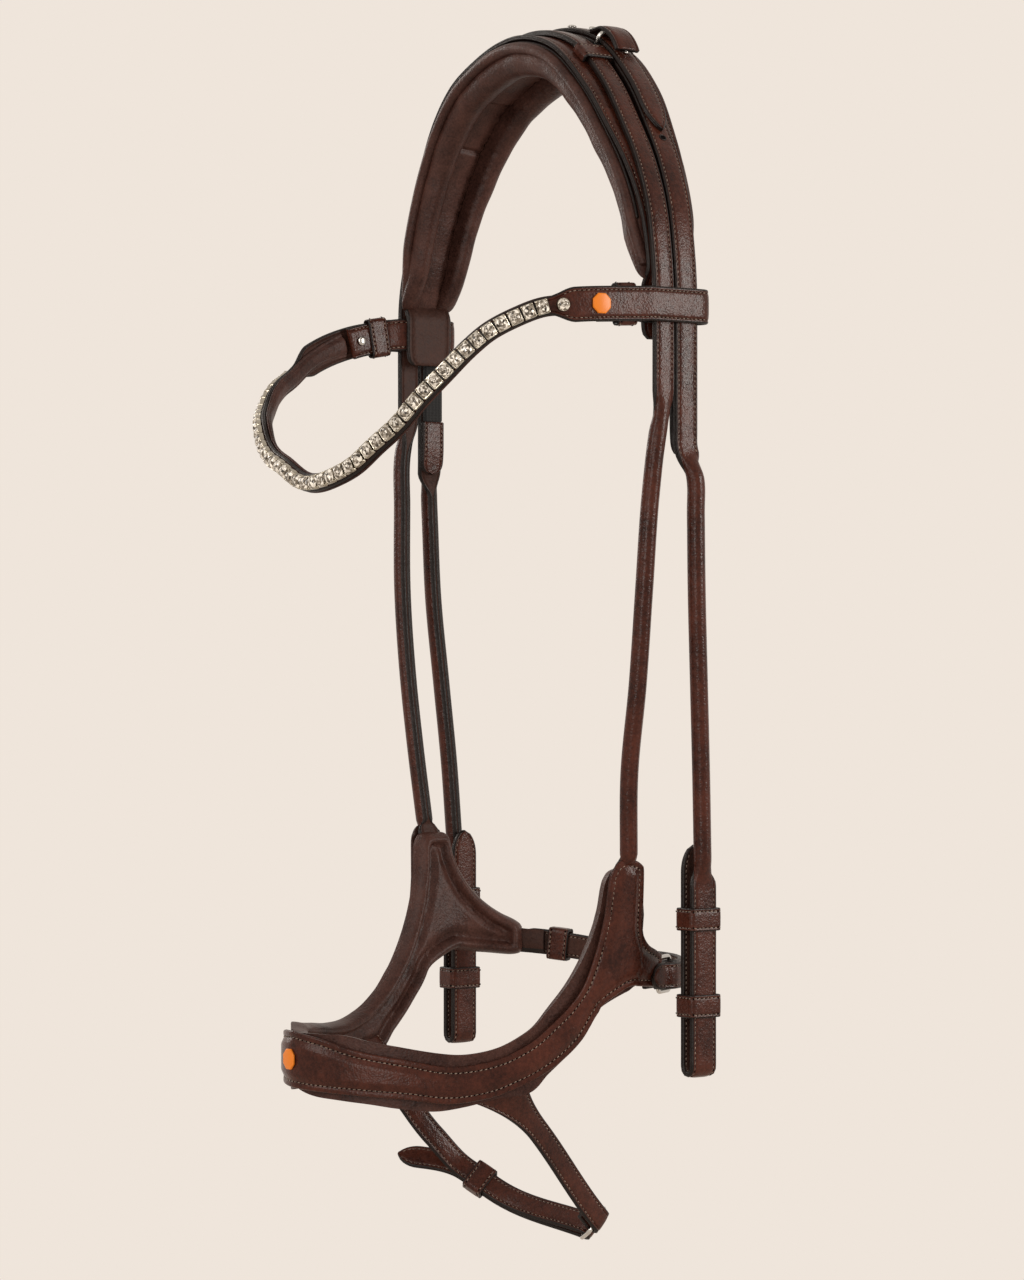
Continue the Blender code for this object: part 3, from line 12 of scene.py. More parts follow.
import bpy
import numpy as np
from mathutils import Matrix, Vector


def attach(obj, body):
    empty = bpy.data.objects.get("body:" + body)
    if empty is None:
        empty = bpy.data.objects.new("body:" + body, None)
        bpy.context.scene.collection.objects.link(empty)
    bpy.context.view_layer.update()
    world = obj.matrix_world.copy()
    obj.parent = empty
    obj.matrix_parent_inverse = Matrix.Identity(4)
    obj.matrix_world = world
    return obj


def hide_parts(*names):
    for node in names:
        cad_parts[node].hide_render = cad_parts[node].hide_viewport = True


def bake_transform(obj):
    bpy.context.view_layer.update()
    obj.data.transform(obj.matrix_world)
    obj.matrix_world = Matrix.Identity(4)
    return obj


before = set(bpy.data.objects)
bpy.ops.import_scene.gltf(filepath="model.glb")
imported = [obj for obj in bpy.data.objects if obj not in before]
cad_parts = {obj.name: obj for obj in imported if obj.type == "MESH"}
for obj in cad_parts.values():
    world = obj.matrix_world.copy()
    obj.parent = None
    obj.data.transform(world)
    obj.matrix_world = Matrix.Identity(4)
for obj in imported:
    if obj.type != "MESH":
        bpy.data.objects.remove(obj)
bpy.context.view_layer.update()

LOG = logging.getLogger("bridle")
UP = np.array([0.0, 0.0, 1.0])
BACK = np.array([0.0, 1.0, 0.0])
Array = np.ndarray


class Side(Enum):
    """The two sides of the horse; the value is the sign of X."""

    NEAR = 1
    FAR = -1

    @property
    def label(self) -> str:
        """The side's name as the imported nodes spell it."""
        return self.name.lower()


@dataclass(frozen=True)
class Stock:
    """Thicknesses of the leather, elastic and wire that the bridle is cut from."""

    gap: float = 0.0003
    leather: float = 0.0026
    strap: float = 0.0030
    light_strap: float = 0.0024
    elastic: float = 0.0018
    keeper_wall: float = 0.0014
    keeper_clearance: float = 0.0004
    wire: float = 0.0022
    wire_corner: float = 0.0024
    roll_radius: float = 0.00435

    @property
    def strap_offset(self) -> float:
        """How far the middle of a strap lies out from the arch's underside."""
        return self.leather + self.gap + self.strap / 2

    @property
    def strap_top(self) -> float:
        """How far the face of a strap lies out from the arch's underside."""
        return self.leather + self.gap + self.strap

    @property
    def strap_end_offset(self) -> float:
        """How far the middle of the strap end over a strap lies out."""
        return self.strap_top + self.gap + self.light_strap / 2


STOCK = Stock()


# Finishes

def linear(code: str) -> tuple[float, float, float, float]:
    """Turns an sRGB hex code to a linear colour.

    Args:
        code: "#rrggbb".

    Returns:
        Red, green, blue and an alpha of 1.
    """
    channels = np.array([int(code[i:i + 2], 16) for i in (1, 3, 5)]) / 255
    high = ((channels + 0.055) / 1.055) ** 2.4
    return (*np.where(channels <= 0.04045, channels / 12.92, high).tolist(), 1.0)


def add_node(tree: bpy.types.NodeTree, kind: str, settings: dict, sockets: dict) -> bpy.types.Node:
    """Adds one node, sets its options, and sets or links its sockets.

    Args:
        tree: the node tree.
        kind: the node's type name.
        settings: option name to value.
        sockets: socket name or index to a value, or to an output socket to link from.

    Returns:
        The new node.
    """
    made = tree.nodes.new(kind)
    for name, value in settings.items():
        setattr(made, name, value)
    for name, value in sockets.items():
        if isinstance(value, bpy.types.NodeSocket):
            tree.links.new(value, made.inputs[name])
        else:
            made.inputs[name].default_value = value
    return made


@dataclass(frozen=True)
class Finish:
    """A real material: colours as sRGB codes, and the shader's own settings."""

    name: str
    slot: str
    colour: str
    roughness: float
    metallic: float = 0.0
    specular: float = 0.5

    def material(self) -> bpy.types.Material:
        """Makes the material once and keeps it by name."""
        found = bpy.data.materials.get(self.name)
        if found:
            return found
        made = bpy.data.materials.new(self.name)
        made.use_nodes = True
        made.diffuse_color = linear(self.colour)
        shader = made.node_tree.nodes["Principled BSDF"]
        shader.inputs["Base Color"].default_value = linear(self.colour)
        shader.inputs["Roughness"].default_value = self.roughness
        shader.inputs["Metallic"].default_value = self.metallic
        shader.inputs["Specular IOR Level"].default_value = self.specular
        self.dress(made.node_tree, shader)
        return made

    def dress(self, tree: bpy.types.NodeTree, shader: bpy.types.Node) -> None:
        """Adds what the plain shader lacks; the finishes with a pattern override it."""

    def cells(self, tree: bpy.types.NodeTree, size: float, kind: str, **options: float) -> bpy.types.Node:
        """A pattern on object coordinates.

        Args:
            tree: the node tree.
            size: metres for one repeat.
            kind: the texture node's type name.
            options: its other sockets.

        Returns:
            The texture node.
        """
        place = add_node(tree, "ShaderNodeTexCoord", {}, {})
        return add_node(tree, kind, {}, {"Vector": place.outputs["Object"], "Scale": 1 / size, **options})


@dataclass(frozen=True)
class GrainLeather(Finish):
    """Leather: patches of two browns, pores and fine creases in its face, and an uneven polish.

    The eye gets depth from the patches, and the pores and creases break up the highlights."""

    patch_colour: str = "#4a2a20"
    patch: float = 0.022
    pore: float = 0.0010              # real pores are 0.2 mm; drawn coarser so that they show
    crease: float = 0.0050
    pore_depth: float = 0.00009
    crease_depth: float = 0.00022
    polish_swing: float = 0.10

    def dress(self, tree: bpy.types.NodeTree, shader: bpy.types.Node) -> None:
        """Patches into colour and roughness; pores and creases into bump.

        Args:
            tree: the material's nodes.
            shader: its shader.
        """
        patches = self.cells(tree, self.patch, "ShaderNodeTexNoise", Detail=4.0, Roughness=0.6)
        spread = add_node(tree, "ShaderNodeMapRange", {}, {
            "Value": patches.outputs["Fac"], "From Min": 0.36, "From Max": 0.64})
        fine = self.cells(tree, self.patch / 12, "ShaderNodeTexNoise", Detail=4.0, Roughness=0.7)
        specks = add_node(tree, "ShaderNodeMapRange", {}, {
            "Value": fine.outputs["Fac"], "From Min": 0.36, "From Max": 0.66})
        both = add_node(tree, "ShaderNodeMix", {"data_type": "FLOAT"}, {
            0: 0.5, 2: spread.outputs["Result"], 3: specks.outputs["Result"]})
        colour = add_node(tree, "ShaderNodeMix", {"data_type": "RGBA"}, {
            0: both.outputs[0], 6: linear(self.colour), 7: linear(self.patch_colour)})
        tree.links.new(colour.outputs[2], shader.inputs["Base Color"])
        polish = add_node(tree, "ShaderNodeMapRange", {}, {
            "Value": both.outputs[0], "To Min": self.roughness - self.polish_swing / 2,
            "To Max": self.roughness + self.polish_swing / 2})
        tree.links.new(polish.outputs["Result"], shader.inputs["Roughness"])
        pores = self.cells(tree, self.pore, "ShaderNodeTexVoronoi")
        grain = add_node(tree, "ShaderNodeBump", {}, {
            "Strength": 1.0, "Distance": self.pore_depth, "Height": pores.outputs["Distance"]})
        creases = self.cells(tree, self.crease, "ShaderNodeTexNoise", Detail=5.0, Distortion=1.2)
        folds = add_node(tree, "ShaderNodeBump", {}, {
            "Strength": 1.0, "Distance": self.crease_depth, "Height": creases.outputs["Fac"],
            "Normal": grain.outputs["Normal"]})
        tree.links.new(folds.outputs["Normal"], shader.inputs["Normal"])


@dataclass(frozen=True)
class RibbedWebbing(Finish):
    """Woven elastic: dull black with fine ribs along its length, which give it a soft striped sheen."""

    rib: float = 0.0009

    def dress(self, tree: bpy.types.NodeTree, shader: bpy.types.Node) -> None:
        """Ribs across Y and a finer weave down Z, both as bump, with sheen.

        Args:
            tree: the material's nodes.
            shader: its shader.
        """
        place = add_node(tree, "ShaderNodeTexCoord", {}, {})
        turns = 2 * np.pi / 20          # the wave node turns 20 times its scale per unit
        ribs = add_node(tree, "ShaderNodeTexWave", {"bands_direction": "Y"}, {
            "Vector": place.outputs["Object"], "Scale": turns / self.rib})
        weave = add_node(tree, "ShaderNodeTexWave", {"bands_direction": "Z"}, {
            "Vector": place.outputs["Object"], "Scale": turns / (1.6 * self.rib)})
        first = add_node(tree, "ShaderNodeBump", {}, {
            "Distance": 0.00016, "Height": ribs.outputs["Fac"]})
        second = add_node(tree, "ShaderNodeBump", {}, {
            "Distance": 0.00008, "Height": weave.outputs["Fac"], "Normal": first.outputs["Normal"]})
        tree.links.new(second.outputs["Normal"], shader.inputs["Normal"])
        shader.inputs["Sheen Weight"].default_value = 0.25


@dataclass(frozen=True)
class PolishedMetal(Finish):
    """Cast and tumbled metal: bright, with a slightly uneven polish that softens its reflections."""

    mark: float = 0.0030

    def dress(self, tree: bpy.types.NodeTree, shader: bpy.types.Node) -> None:
        """Polish marks into roughness.

        Args:
            tree: the material's nodes.
            shader: its shader.
        """
        marks = self.cells(tree, self.mark, "ShaderNodeTexNoise", Detail=3.0)
        polish = add_node(tree, "ShaderNodeMapRange", {}, {
            "Value": marks.outputs["Fac"], "To Min": self.roughness * 0.6, "To Max": self.roughness * 1.5})
        tree.links.new(polish.outputs["Result"], shader.inputs["Roughness"])


@dataclass(frozen=True)
class CutStone(Finish):
    """Foiled glass stone: each facet is painted a clear light, mid or dark, as a painted reflection of the
    room in its foil back.
    """

    # painted reflections: the dark and the mid facet colours; the finish's own colour is the bright one
    dark: str = "#120d09"
    mid: str = "#7f7466"

    def dress(self, tree: bpy.types.NodeTree, shader: bpy.types.Node) -> None:
        """The facets' painted reflections, from dark over mid to the bright colour.

        Args:
            tree: the material's nodes.
            shader: its shader.
        """
        painted_glint = add_node(tree, "ShaderNodeAttribute", {"attribute_name": "painted_glint"}, {})
        low = add_node(tree, "ShaderNodeMapRange", {}, {
            "Value": painted_glint.outputs["Fac"], "From Max": 0.5})
        high = add_node(tree, "ShaderNodeMapRange", {}, {
            "Value": painted_glint.outputs["Fac"], "From Min": 0.5, "From Max": 0.9})
        first = add_node(tree, "ShaderNodeMix", {"data_type": "RGBA"}, {
            0: low.outputs["Result"], 6: linear(self.dark), 7: linear(self.mid)})
        second = add_node(tree, "ShaderNodeMix", {"data_type": "RGBA"}, {
            0: high.outputs["Result"], 6: first.outputs[2], 7: linear(self.colour)})
        tree.links.new(second.outputs[2], shader.inputs["Base Color"])


@dataclass(frozen=True)
class TwistedThread(Finish):
    """Waxed thread: its twist is finer than the picture, so fine noise in its colour paints the twist's light
    and shade, with painted highlights on its strands.
    """

    painted_twist_highlight: str = "#a08c80"
    strand: float = 0.0006

    def dress(self, tree: bpy.types.NodeTree, shader: bpy.types.Node) -> None:
        """Noise from the thread's dark colour, the painted shade of its twist, to the painted highlight of
        its strands.

        Args:
            tree: the material's nodes.
            shader: its shader.
        """
        strands = self.cells(tree, self.strand, "ShaderNodeTexNoise", Detail=2.0)
        spread = add_node(tree, "ShaderNodeMapRange", {}, {
            "Value": strands.outputs["Fac"], "From Min": 0.4, "From Max": 0.62})
        colour = add_node(tree, "ShaderNodeMix", {"data_type": "RGBA"}, {
            0: spread.outputs["Result"], 6: linear(self.colour), 7: linear(self.painted_twist_highlight)})
        tree.links.new(colour.outputs[2], shader.inputs["Base Color"])


class Coat(Enum):
    """The bridle's finishes."""

    LEATHER = GrainLeather("waxed_bridle_leather", "bridle_leather", "#220e09", 0.28, specular=0.16,
                           patch_colour="#4c261b")
    FLESH = GrainLeather("smooth_lining_leather", "bridle_leather", "#271712", 0.50, specular=0.10,
                         patch_colour="#412a23", pore=0.0013, pore_depth=0.00010)
    EDGE = GrainLeather("dyed_leather_edge", "bridle_leather", "#0b0605", 0.42, specular=0.2,
                        patch_colour="#190e0a", patch=0.006)
    NAPPA = GrainLeather("nappa_padding_leather", "soft_leather", "#24130f", 0.42, specular=0.14,
                         patch_colour="#4b3029", patch=0.014, pore=0.0012, crease=0.0034,
                         pore_depth=0.00010, crease_depth=0.00030)
    # painted shade: near black for the insides of awl and punched holes
    HOLE = Finish("awl_hole_shadow", "bridle_leather", "#060303", 0.9, specular=0.05)
    # painted highlight and shade: the thread's twist as light and dark colour noise
    THREAD = TwistedThread("waxed_linen_thread", "bridle_leather", "#3a2c25", 0.50, specular=0.2,
                           painted_twist_highlight="#8f7f72")
    ELASTIC = RibbedWebbing("woven_elastic_webbing", "elastic", "#0c0b0c", 0.80, specular=0.2)
    STEEL = PolishedMetal("polished_stainless_steel", "steel", "#b9b7b3", 0.18, metallic=1.0)
    CUP = PolishedMetal("silvered_brass_cup", "crystal", "#a39c8e", 0.20, metallic=1.0, mark=0.0016)
    # painted reflections: the stones' bright facet colour, with painted dark and mid facets from CutStone
    STONE = CutStone("foiled_glass_stone", "crystal", "#fff8ec", 0.08, specular=0.35)
    ENAMEL = Finish("orange_enamel", "badge", "#d9771f", 0.34, specular=0.25)


# Lines through space

def unit(vectors: Array) -> Array:
    """Vectors of length 1: each is divided by its length."""
    vectors = np.asarray(vectors, float)
    return vectors / np.maximum(np.linalg.norm(vectors, axis=-1, keepdims=True), 1e-12)


def smooth_step(share: Array) -> Array:
    """Eases a share from 0 to 1: three squares less two cubes."""
    share = np.clip(share, 0.0, 1.0)
    return share * share * (3 - 2 * share)


def square_to(tangents: Array, hint: Array) -> Array:
    """The hinted way made square to each tangent: the hint less its part along the tangent."""
    hint = np.broadcast_to(hint, tangents.shape)
    return unit(hint - np.sum(hint * tangents, axis=-1, keepdims=True) * tangents)


def line_tangents(points: Array, closed: bool = False) -> Array:
    """Ways along a line: the step from each point's neighbour behind to the one ahead.

    Args:
        points: of the line.
        closed: whether its end meets its start.

    Returns:
        One way for each point.
    """
    if closed:
        return unit(np.roll(points, -1, axis=0) - np.roll(points, 1, axis=0))
    ahead = np.concatenate([points[1:], points[-1:]])
    behind = np.concatenate([points[:1], points[:-1]])
    return unit(ahead - behind)


def runs_of(points: Array) -> Array:
    """Distances of a line's points from its start: the summed lengths of its steps."""
    return np.concatenate([[0.0], np.cumsum(np.linalg.norm(np.diff(points, axis=0), axis=1))])


def smooth_path(points: Array, count: int) -> Array:
    """Cubic curve through points, its slope at each from the neighbours on both sides.

    Args:
        points: places, or rows of any numbers, to pass through.
        count: how many points the result has, evenly spaced in chord length.

    Returns:
        The points of the curve.
    """
    points = np.asarray(points, float)
    knots = runs_of(points)
    slopes = np.gradient(points, knots, axis=0)
    fine = np.linspace(0.0, knots[-1], count)
    i = np.clip(np.searchsorted(knots, fine, side="right") - 1, 0, len(points) - 2)
    step = (knots[i + 1] - knots[i])[:, None]
    t = (fine - knots[i])[:, None] / step
    start = (2 * t ** 3 - 3 * t ** 2 + 1) * points[i] + (t ** 3 - 2 * t ** 2 + t) * step * slopes[i]
    end = (3 * t ** 2 - 2 * t ** 3) * points[i + 1] + (t ** 3 - t ** 2) * step * slopes[i + 1]
    return start + end


def stations_of(total: float, step: float) -> Array:
    """Evenly spaced distances from 0 to a total, about a step apart."""
    return np.linspace(0.0, total, max(int(np.ceil(total / step)), 2) + 1)


def smooth_table(table: tuple, angles: Array) -> Array:
    """Reads a table of angle and values at other angles, along a smooth curve through its rows.

    Args:
        table: rows of an angle in degrees and its values.
        angles: where to read it.

    Returns:
        One row of values for each angle.
    """
    rows = np.array(table, float)
    dense = smooth_path(rows * ([0.01] + [1.0] * (rows.shape[1] - 1)), 1601)
    return np.stack([np.interp(np.asarray(angles) / 100, dense[:, 0], dense[:, k])
                     for k in range(1, rows.shape[1])])


def half_turn(place: Array, ahead: Array, aside: Array, radius: float, steps: int) -> Array:
    """Half circle from a place, ahead and to one side: radius times sine, and times 1 less cosine."""
    angles = np.linspace(0.0, np.pi, steps + 1)[:, None]
    return place + radius * (aside * (1 - np.cos(angles)) + ahead * np.sin(angles))


class Path:
    """A line with the way across it and the way out of it at each of its points, read by distance."""

    def __init__(self, points: Array, across: Array, facing: int = 1, closed: bool = False) -> None:
        """Keeps the line.

        Args:
            points: dense points of the line.
            across: way across, one for all points or one each, made square to the line.
            facing: 1 or -1, the sign of the way out, which is across times along.
            closed: whether the line's end meets its start.
        """
        self.points = np.concatenate([points, points[:1]]) if closed else np.asarray(points, float)
        tangents = line_tangents(self.points)
        if closed:
            tangents[0] = tangents[-1] = unit(self.points[1] - self.points[-2])
        self.facing = facing
        self.closed = closed
        self.across = square_to(tangents, across)
        self.outward = facing * np.cross(self.across, tangents)
        self.lengths = runs_of(self.points)
        self.total = float(self.lengths[-1])

    def read(self, values: Array, distances: Array) -> Array:
        """Values kept for the line's points, read between them at the given distances."""
        return np.stack([np.interp(distances, self.lengths, values[:, k]) for k in range(3)], -1)

    def at(self, distances: Array) -> tuple[Array, Array, Array]:
        """Places, ways across and ways out at the given distances."""
        return (self.read(self.points, distances), unit(self.read(self.across, distances)),
                unit(self.read(self.outward, distances)))

    def spot(self, run: float) -> tuple[Array, Array, Array]:
        """Place, way across and way out at one distance."""
        return tuple(values[0] for values in self.at(np.array([run])))

    def stations(self, step: float) -> Array:
        """Evenly spaced distances along the whole line, about a step apart."""
        return stations_of(self.total, step)

    def at_drop(self, drop: float) -> float:
        """Distance to the first point that lies this far below the poll."""
        return float(self.lengths[np.argmax(-self.points[:, 2] >= drop)])


# Forms

def ring_faces(rows: int, sides: int, closed: bool = False) -> Array:
    """Corner numbers of the faces between rings of points.

    Args:
        rows: count of rings.
        sides: points of a ring.
        closed: whether the last ring joins the first.

    Returns:
        Four numbers for each face.
    """
    row = np.arange(rows if closed else rows - 1)[:, None] * sides
    side, after, above = np.arange(sides), (np.arange(sides) + 1) % sides, (row + sides) % (rows * sides)
    corners = np.broadcast_arrays(row + side, row + after, above + after, above + side)
    return np.stack(corners, -1).reshape(-1, 4)


class Form:
    """Surfaces gathered into one piece, each with its finish."""

    def __init__(self) -> None:
        """Starts an empty form."""
        self.points: list[Array] = []
        self.corners: list[Array] = []
        self.sizes: list[Array] = []
        self.coats: list[Array] = []
        self.smooth: list[Array] = []
        self.painted_glints: list[Array] = []
        self.palette: list[Coat] = []
        self.count = 0

    def coat_number(self, coat: Coat) -> int:
        """The place of a finish in this piece's material slots."""
        if coat not in self.palette:
            self.palette.append(coat)
        return self.palette.index(coat)

    def add_points(self, points: Array) -> int:
        """Adds points and gives the number of the first."""
        points = np.asarray(points, float).reshape(-1, 3)
        self.points.append(points)
        self.count += len(points)
        return self.count - len(points)

    def add_faces(self, corners: Array, coats: Array, smooth: bool = True,
                  painted_glints: Array | float = 0.0) -> None:
        """Adds faces that all have the same number of corners.

        Args:
            corners: point numbers, one row for each face.
            coats: slot numbers, one for all faces or one each.
            smooth: whether they are shaded smooth.
            painted_glints: painted reflection brightness of each facet, for cut stones.
        """
        corners = np.asarray(corners)
        self.corners.append(corners.reshape(-1))
        self.sizes.append(np.full(len(corners), corners.shape[1]))
        self.coats.append(np.broadcast_to(coats, len(corners)))
        self.smooth.append(np.full(len(corners), smooth))
        self.painted_glints.append(np.broadcast_to(painted_glints, len(corners)))

    def loft(self, rings: Array, coats: list[Coat] | Coat, closed: bool = False, smooth: bool = True) -> None:
        """Skin over rings of points, closed round each ring, with a face on each open end.

        Args:
            rings: rows of points, rings by columns by 3, turning so that the faces point out.
            coats: one finish, or one for each column of faces.
            closed: whether the last ring joins the first.
            smooth: whether it is shaded smooth.
        """
        rows, sides = rings.shape[:2]
        first = self.add_points(rings)
        numbers = [self.coat_number(coat) for coat in (coats if isinstance(coats, list) else [coats] * sides)]
        faces = first + ring_faces(rows, sides, closed)
        self.add_faces(faces, np.tile(numbers, len(faces) // sides), smooth)
        if not closed:
            ends = np.stack([first + np.arange(sides)[::-1], first + (rows - 1) * sides + np.arange(sides)])
            self.add_faces(ends, numbers[0], smooth=False)

    def copies(self, points: Array, faces: list[Array], coat: Coat, centres: Array,
               axes: Array, smooth: bool = True, painted_glints: Array | None = None) -> None:
        """One small shape repeated: each copy's points are its centre plus the shape's points along its axes.

        Args:
            points: the shape's points, in its own axes.
            faces: arrays of corner numbers, one array for each count of corners.
            coat: the finish.
            centres: one place for each copy.
            axes: three ways for each copy, copies by 3 by 3.
            smooth: whether the faces are shaded smooth.
            painted_glints: painted reflection brightness of each facet of each copy, copies by faces.
        """
        placed = centres[:, None] + np.einsum("pk,nkc->npc", points, axes)
        first = self.add_points(placed)
        starts = first + np.arange(len(centres))[:, None, None] * len(points)
        done = 0
        for block in faces:
            block = np.asarray(block)
            painted_facet_shine = 0.0 if painted_glints is None else painted_glints[:, done:done + len(block)].reshape(-1)
            self.add_faces((starts + block[None]).reshape(-1, block.shape[1]), self.coat_number(coat),
                           smooth, painted_facet_shine)
            done += len(block)

    def build(self, name: str) -> bpy.types.Object:
        """Puts the form into a mesh object at the origin.

        Args:
            name: the piece's name.

        Returns:
            The object, with its materials in their slots.
        """
        corners, sizes = np.concatenate(self.corners), np.concatenate(self.sizes)
        mesh = bpy.data.meshes.new(name)
        mesh.vertices.add(self.count)
        mesh.vertices.foreach_set("co", np.concatenate(self.points).astype(np.float32).ravel())
        mesh.loops.add(len(corners))
        mesh.loops.foreach_set("vertex_index", corners.astype(np.int32))
        mesh.polygons.add(len(sizes))
        mesh.polygons.foreach_set("loop_start", (np.cumsum(sizes) - sizes).astype(np.int32))
        mesh.polygons.foreach_set("material_index", np.concatenate(self.coats).astype(np.int32))
        mesh.polygons.foreach_set("use_smooth", np.concatenate(self.smooth))
        mesh.update(calc_edges=True)
        if Coat.STONE in self.palette:
            # painted reflections: each stone facet carries its painted brightness as a face attribute
            painted_glint = mesh.attributes.new("painted_glint", "FLOAT", "FACE")
            painted_glint.data.foreach_set("value", np.concatenate(self.painted_glints).astype(np.float32))
        for coat in self.palette:
            mesh.materials.append(coat.value.material())
        mesh.set_sharp_from_angle(angle=np.radians(55.0))
        made = bpy.data.objects.new(name, mesh)
        bpy.context.scene.collection.objects.link(made)
        return made


def settle(form: Form, name: str, body: str, *nodes: str,
           bend: tuple[str, Array, Array] | None = None) -> bpy.types.Object:
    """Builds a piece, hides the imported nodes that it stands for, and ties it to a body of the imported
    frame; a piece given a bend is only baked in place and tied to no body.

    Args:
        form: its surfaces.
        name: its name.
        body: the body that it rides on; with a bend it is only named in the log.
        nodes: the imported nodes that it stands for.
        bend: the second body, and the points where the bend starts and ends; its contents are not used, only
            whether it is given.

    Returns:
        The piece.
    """
    piece = form.build(name)
    if bend:
        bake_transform(piece)
    else:
        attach(piece, body)
    if nodes:
        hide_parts(*nodes)
    LOG.info("%s: %d faces on %s", name, sum(len(block) for block in form.sizes), body)
    return piece


# Leather, wire and stones

FRONT_ANGLES = np.array([-138.0, -126, -114, -102, -76, -51, -25, 0, 25, 51, 76, 102, 114, 126, 138])
EDGE_ANGLES = np.array([144.0, 150, 156, 161, 166, 170, 173.5])
ROLL_ANGLES = np.radians(np.concatenate([FRONT_ANGLES, EDGE_ANGLES, np.linspace(176, 184, 15),
                                         360 - EDGE_ANGLES[::-1]]))
COLUMNS = len(ROLL_ANGLES)


@dataclass(frozen=True)
class Section:
    """Section of a stitched strap: a face between two stitch grooves, and rounded edges of two layers."""

    inset: float = 0.0019
    groove: float = 0.00042
    crown: float = 0.00035
    edge: float = 0.0010
    lip: float = 0.00045
    seam: float = 0.12
    back_groove: float = 0.00030

    def rows(self, widths: Array) -> Array:
        """How far the stitch rows lie from the middle line: half the width less the inset."""
        return np.clip(widths / 2 - self.inset, 0.0, None)

    def outline(self, widths: Array, thicknesses: Array, rolls: Array) -> tuple[Array, Array]:
        """Columns of the section at each station, from flat to rolled.

        Flat, the face rises by the crown times 1 less the fourth power of its share of the way to the stitch
        row. Rolled, each column has an angle on a circle, so that both edges meet in a seam behind. Between
        them each column goes straight from one to the other.

        Args:
            widths: strap widths.
            thicknesses: strap thicknesses.
            rolls: 0 for flat, 1 for rolled.

        Returns:
            Distances across and out, stations by columns.
        """
        half, deep = widths[:, None] / 2, thicknesses[:, None] / 2
        edge = np.minimum(np.minimum(self.edge, deep * 0.8), half * 0.5)
        flat = half - edge
        row = np.minimum(np.clip(half - self.inset, 0.0, None), flat)
        outer = np.minimum(row + self.lip, flat)
        inner = np.maximum(row - self.lip, 0.85 * row)
        right = np.concatenate([0 * row, 0.25 * row, 0.5 * row, 0.75 * row, inner, row, outer, flat], 1)
        face = np.concatenate([-right[:, :0:-1], right], 1)
        rise = self.crown * np.clip(1 - (np.abs(face) / np.maximum(row, 1e-6)) ** 4, 0.0, 1.0)
        dip = np.zeros(15)
        dip[[2, 12]] = 1.0
        front = deep + rise - dip * self.groove
        back = -deep + dip * self.back_groove + 0 * face
        turn = np.radians([65.0, 35.0, 5.0])
        low = edge - deep
        round_x, round_z = edge * np.cos(turn), edge * np.sin(turn)
        side_x = np.concatenate([flat + round_x, half - 0.00025, flat + round_x[:, ::-1]], 1)
        side_z = np.concatenate([round_z - low, 0 * deep, low - round_z[:, ::-1]], 1)
        flat_x = np.concatenate([face, side_x, face[:, ::-1], -side_x[:, ::-1]], 1)
        flat_z = np.concatenate([front, side_z, back, side_z[:, ::-1]], 1)
        dent = self.seam * np.exp(-((ROLL_ANGLES - np.pi) / np.radians(7.0)) ** 2)
        reach = STOCK.roll_radius * (1 - dent)
        share = np.broadcast_to(rolls, widths.shape)[:, None]
        return (flat_x * (1 - share) + reach * np.sin(ROLL_ANGLES) * share,
                flat_z * (1 - share) + reach * np.cos(ROLL_ANGLES) * share)

    def column_coats(self, coats: tuple[Coat, ...], facing: int) -> list[Coat]:
        """The finish of each column of faces, turned round where the section is."""
        coats = [coats[0]] * 14 + [coats[1]] * 8 + [coats[2]] * 14 + [coats[1]] * 8
        return coats if facing > 0 else [coats[(COLUMNS - 2 - k) % COLUMNS] for k in range(COLUMNS)]


STRAP = Section()
PLAIN = Section(groove=0.0, back_groove=0.0, crown=0.0002)


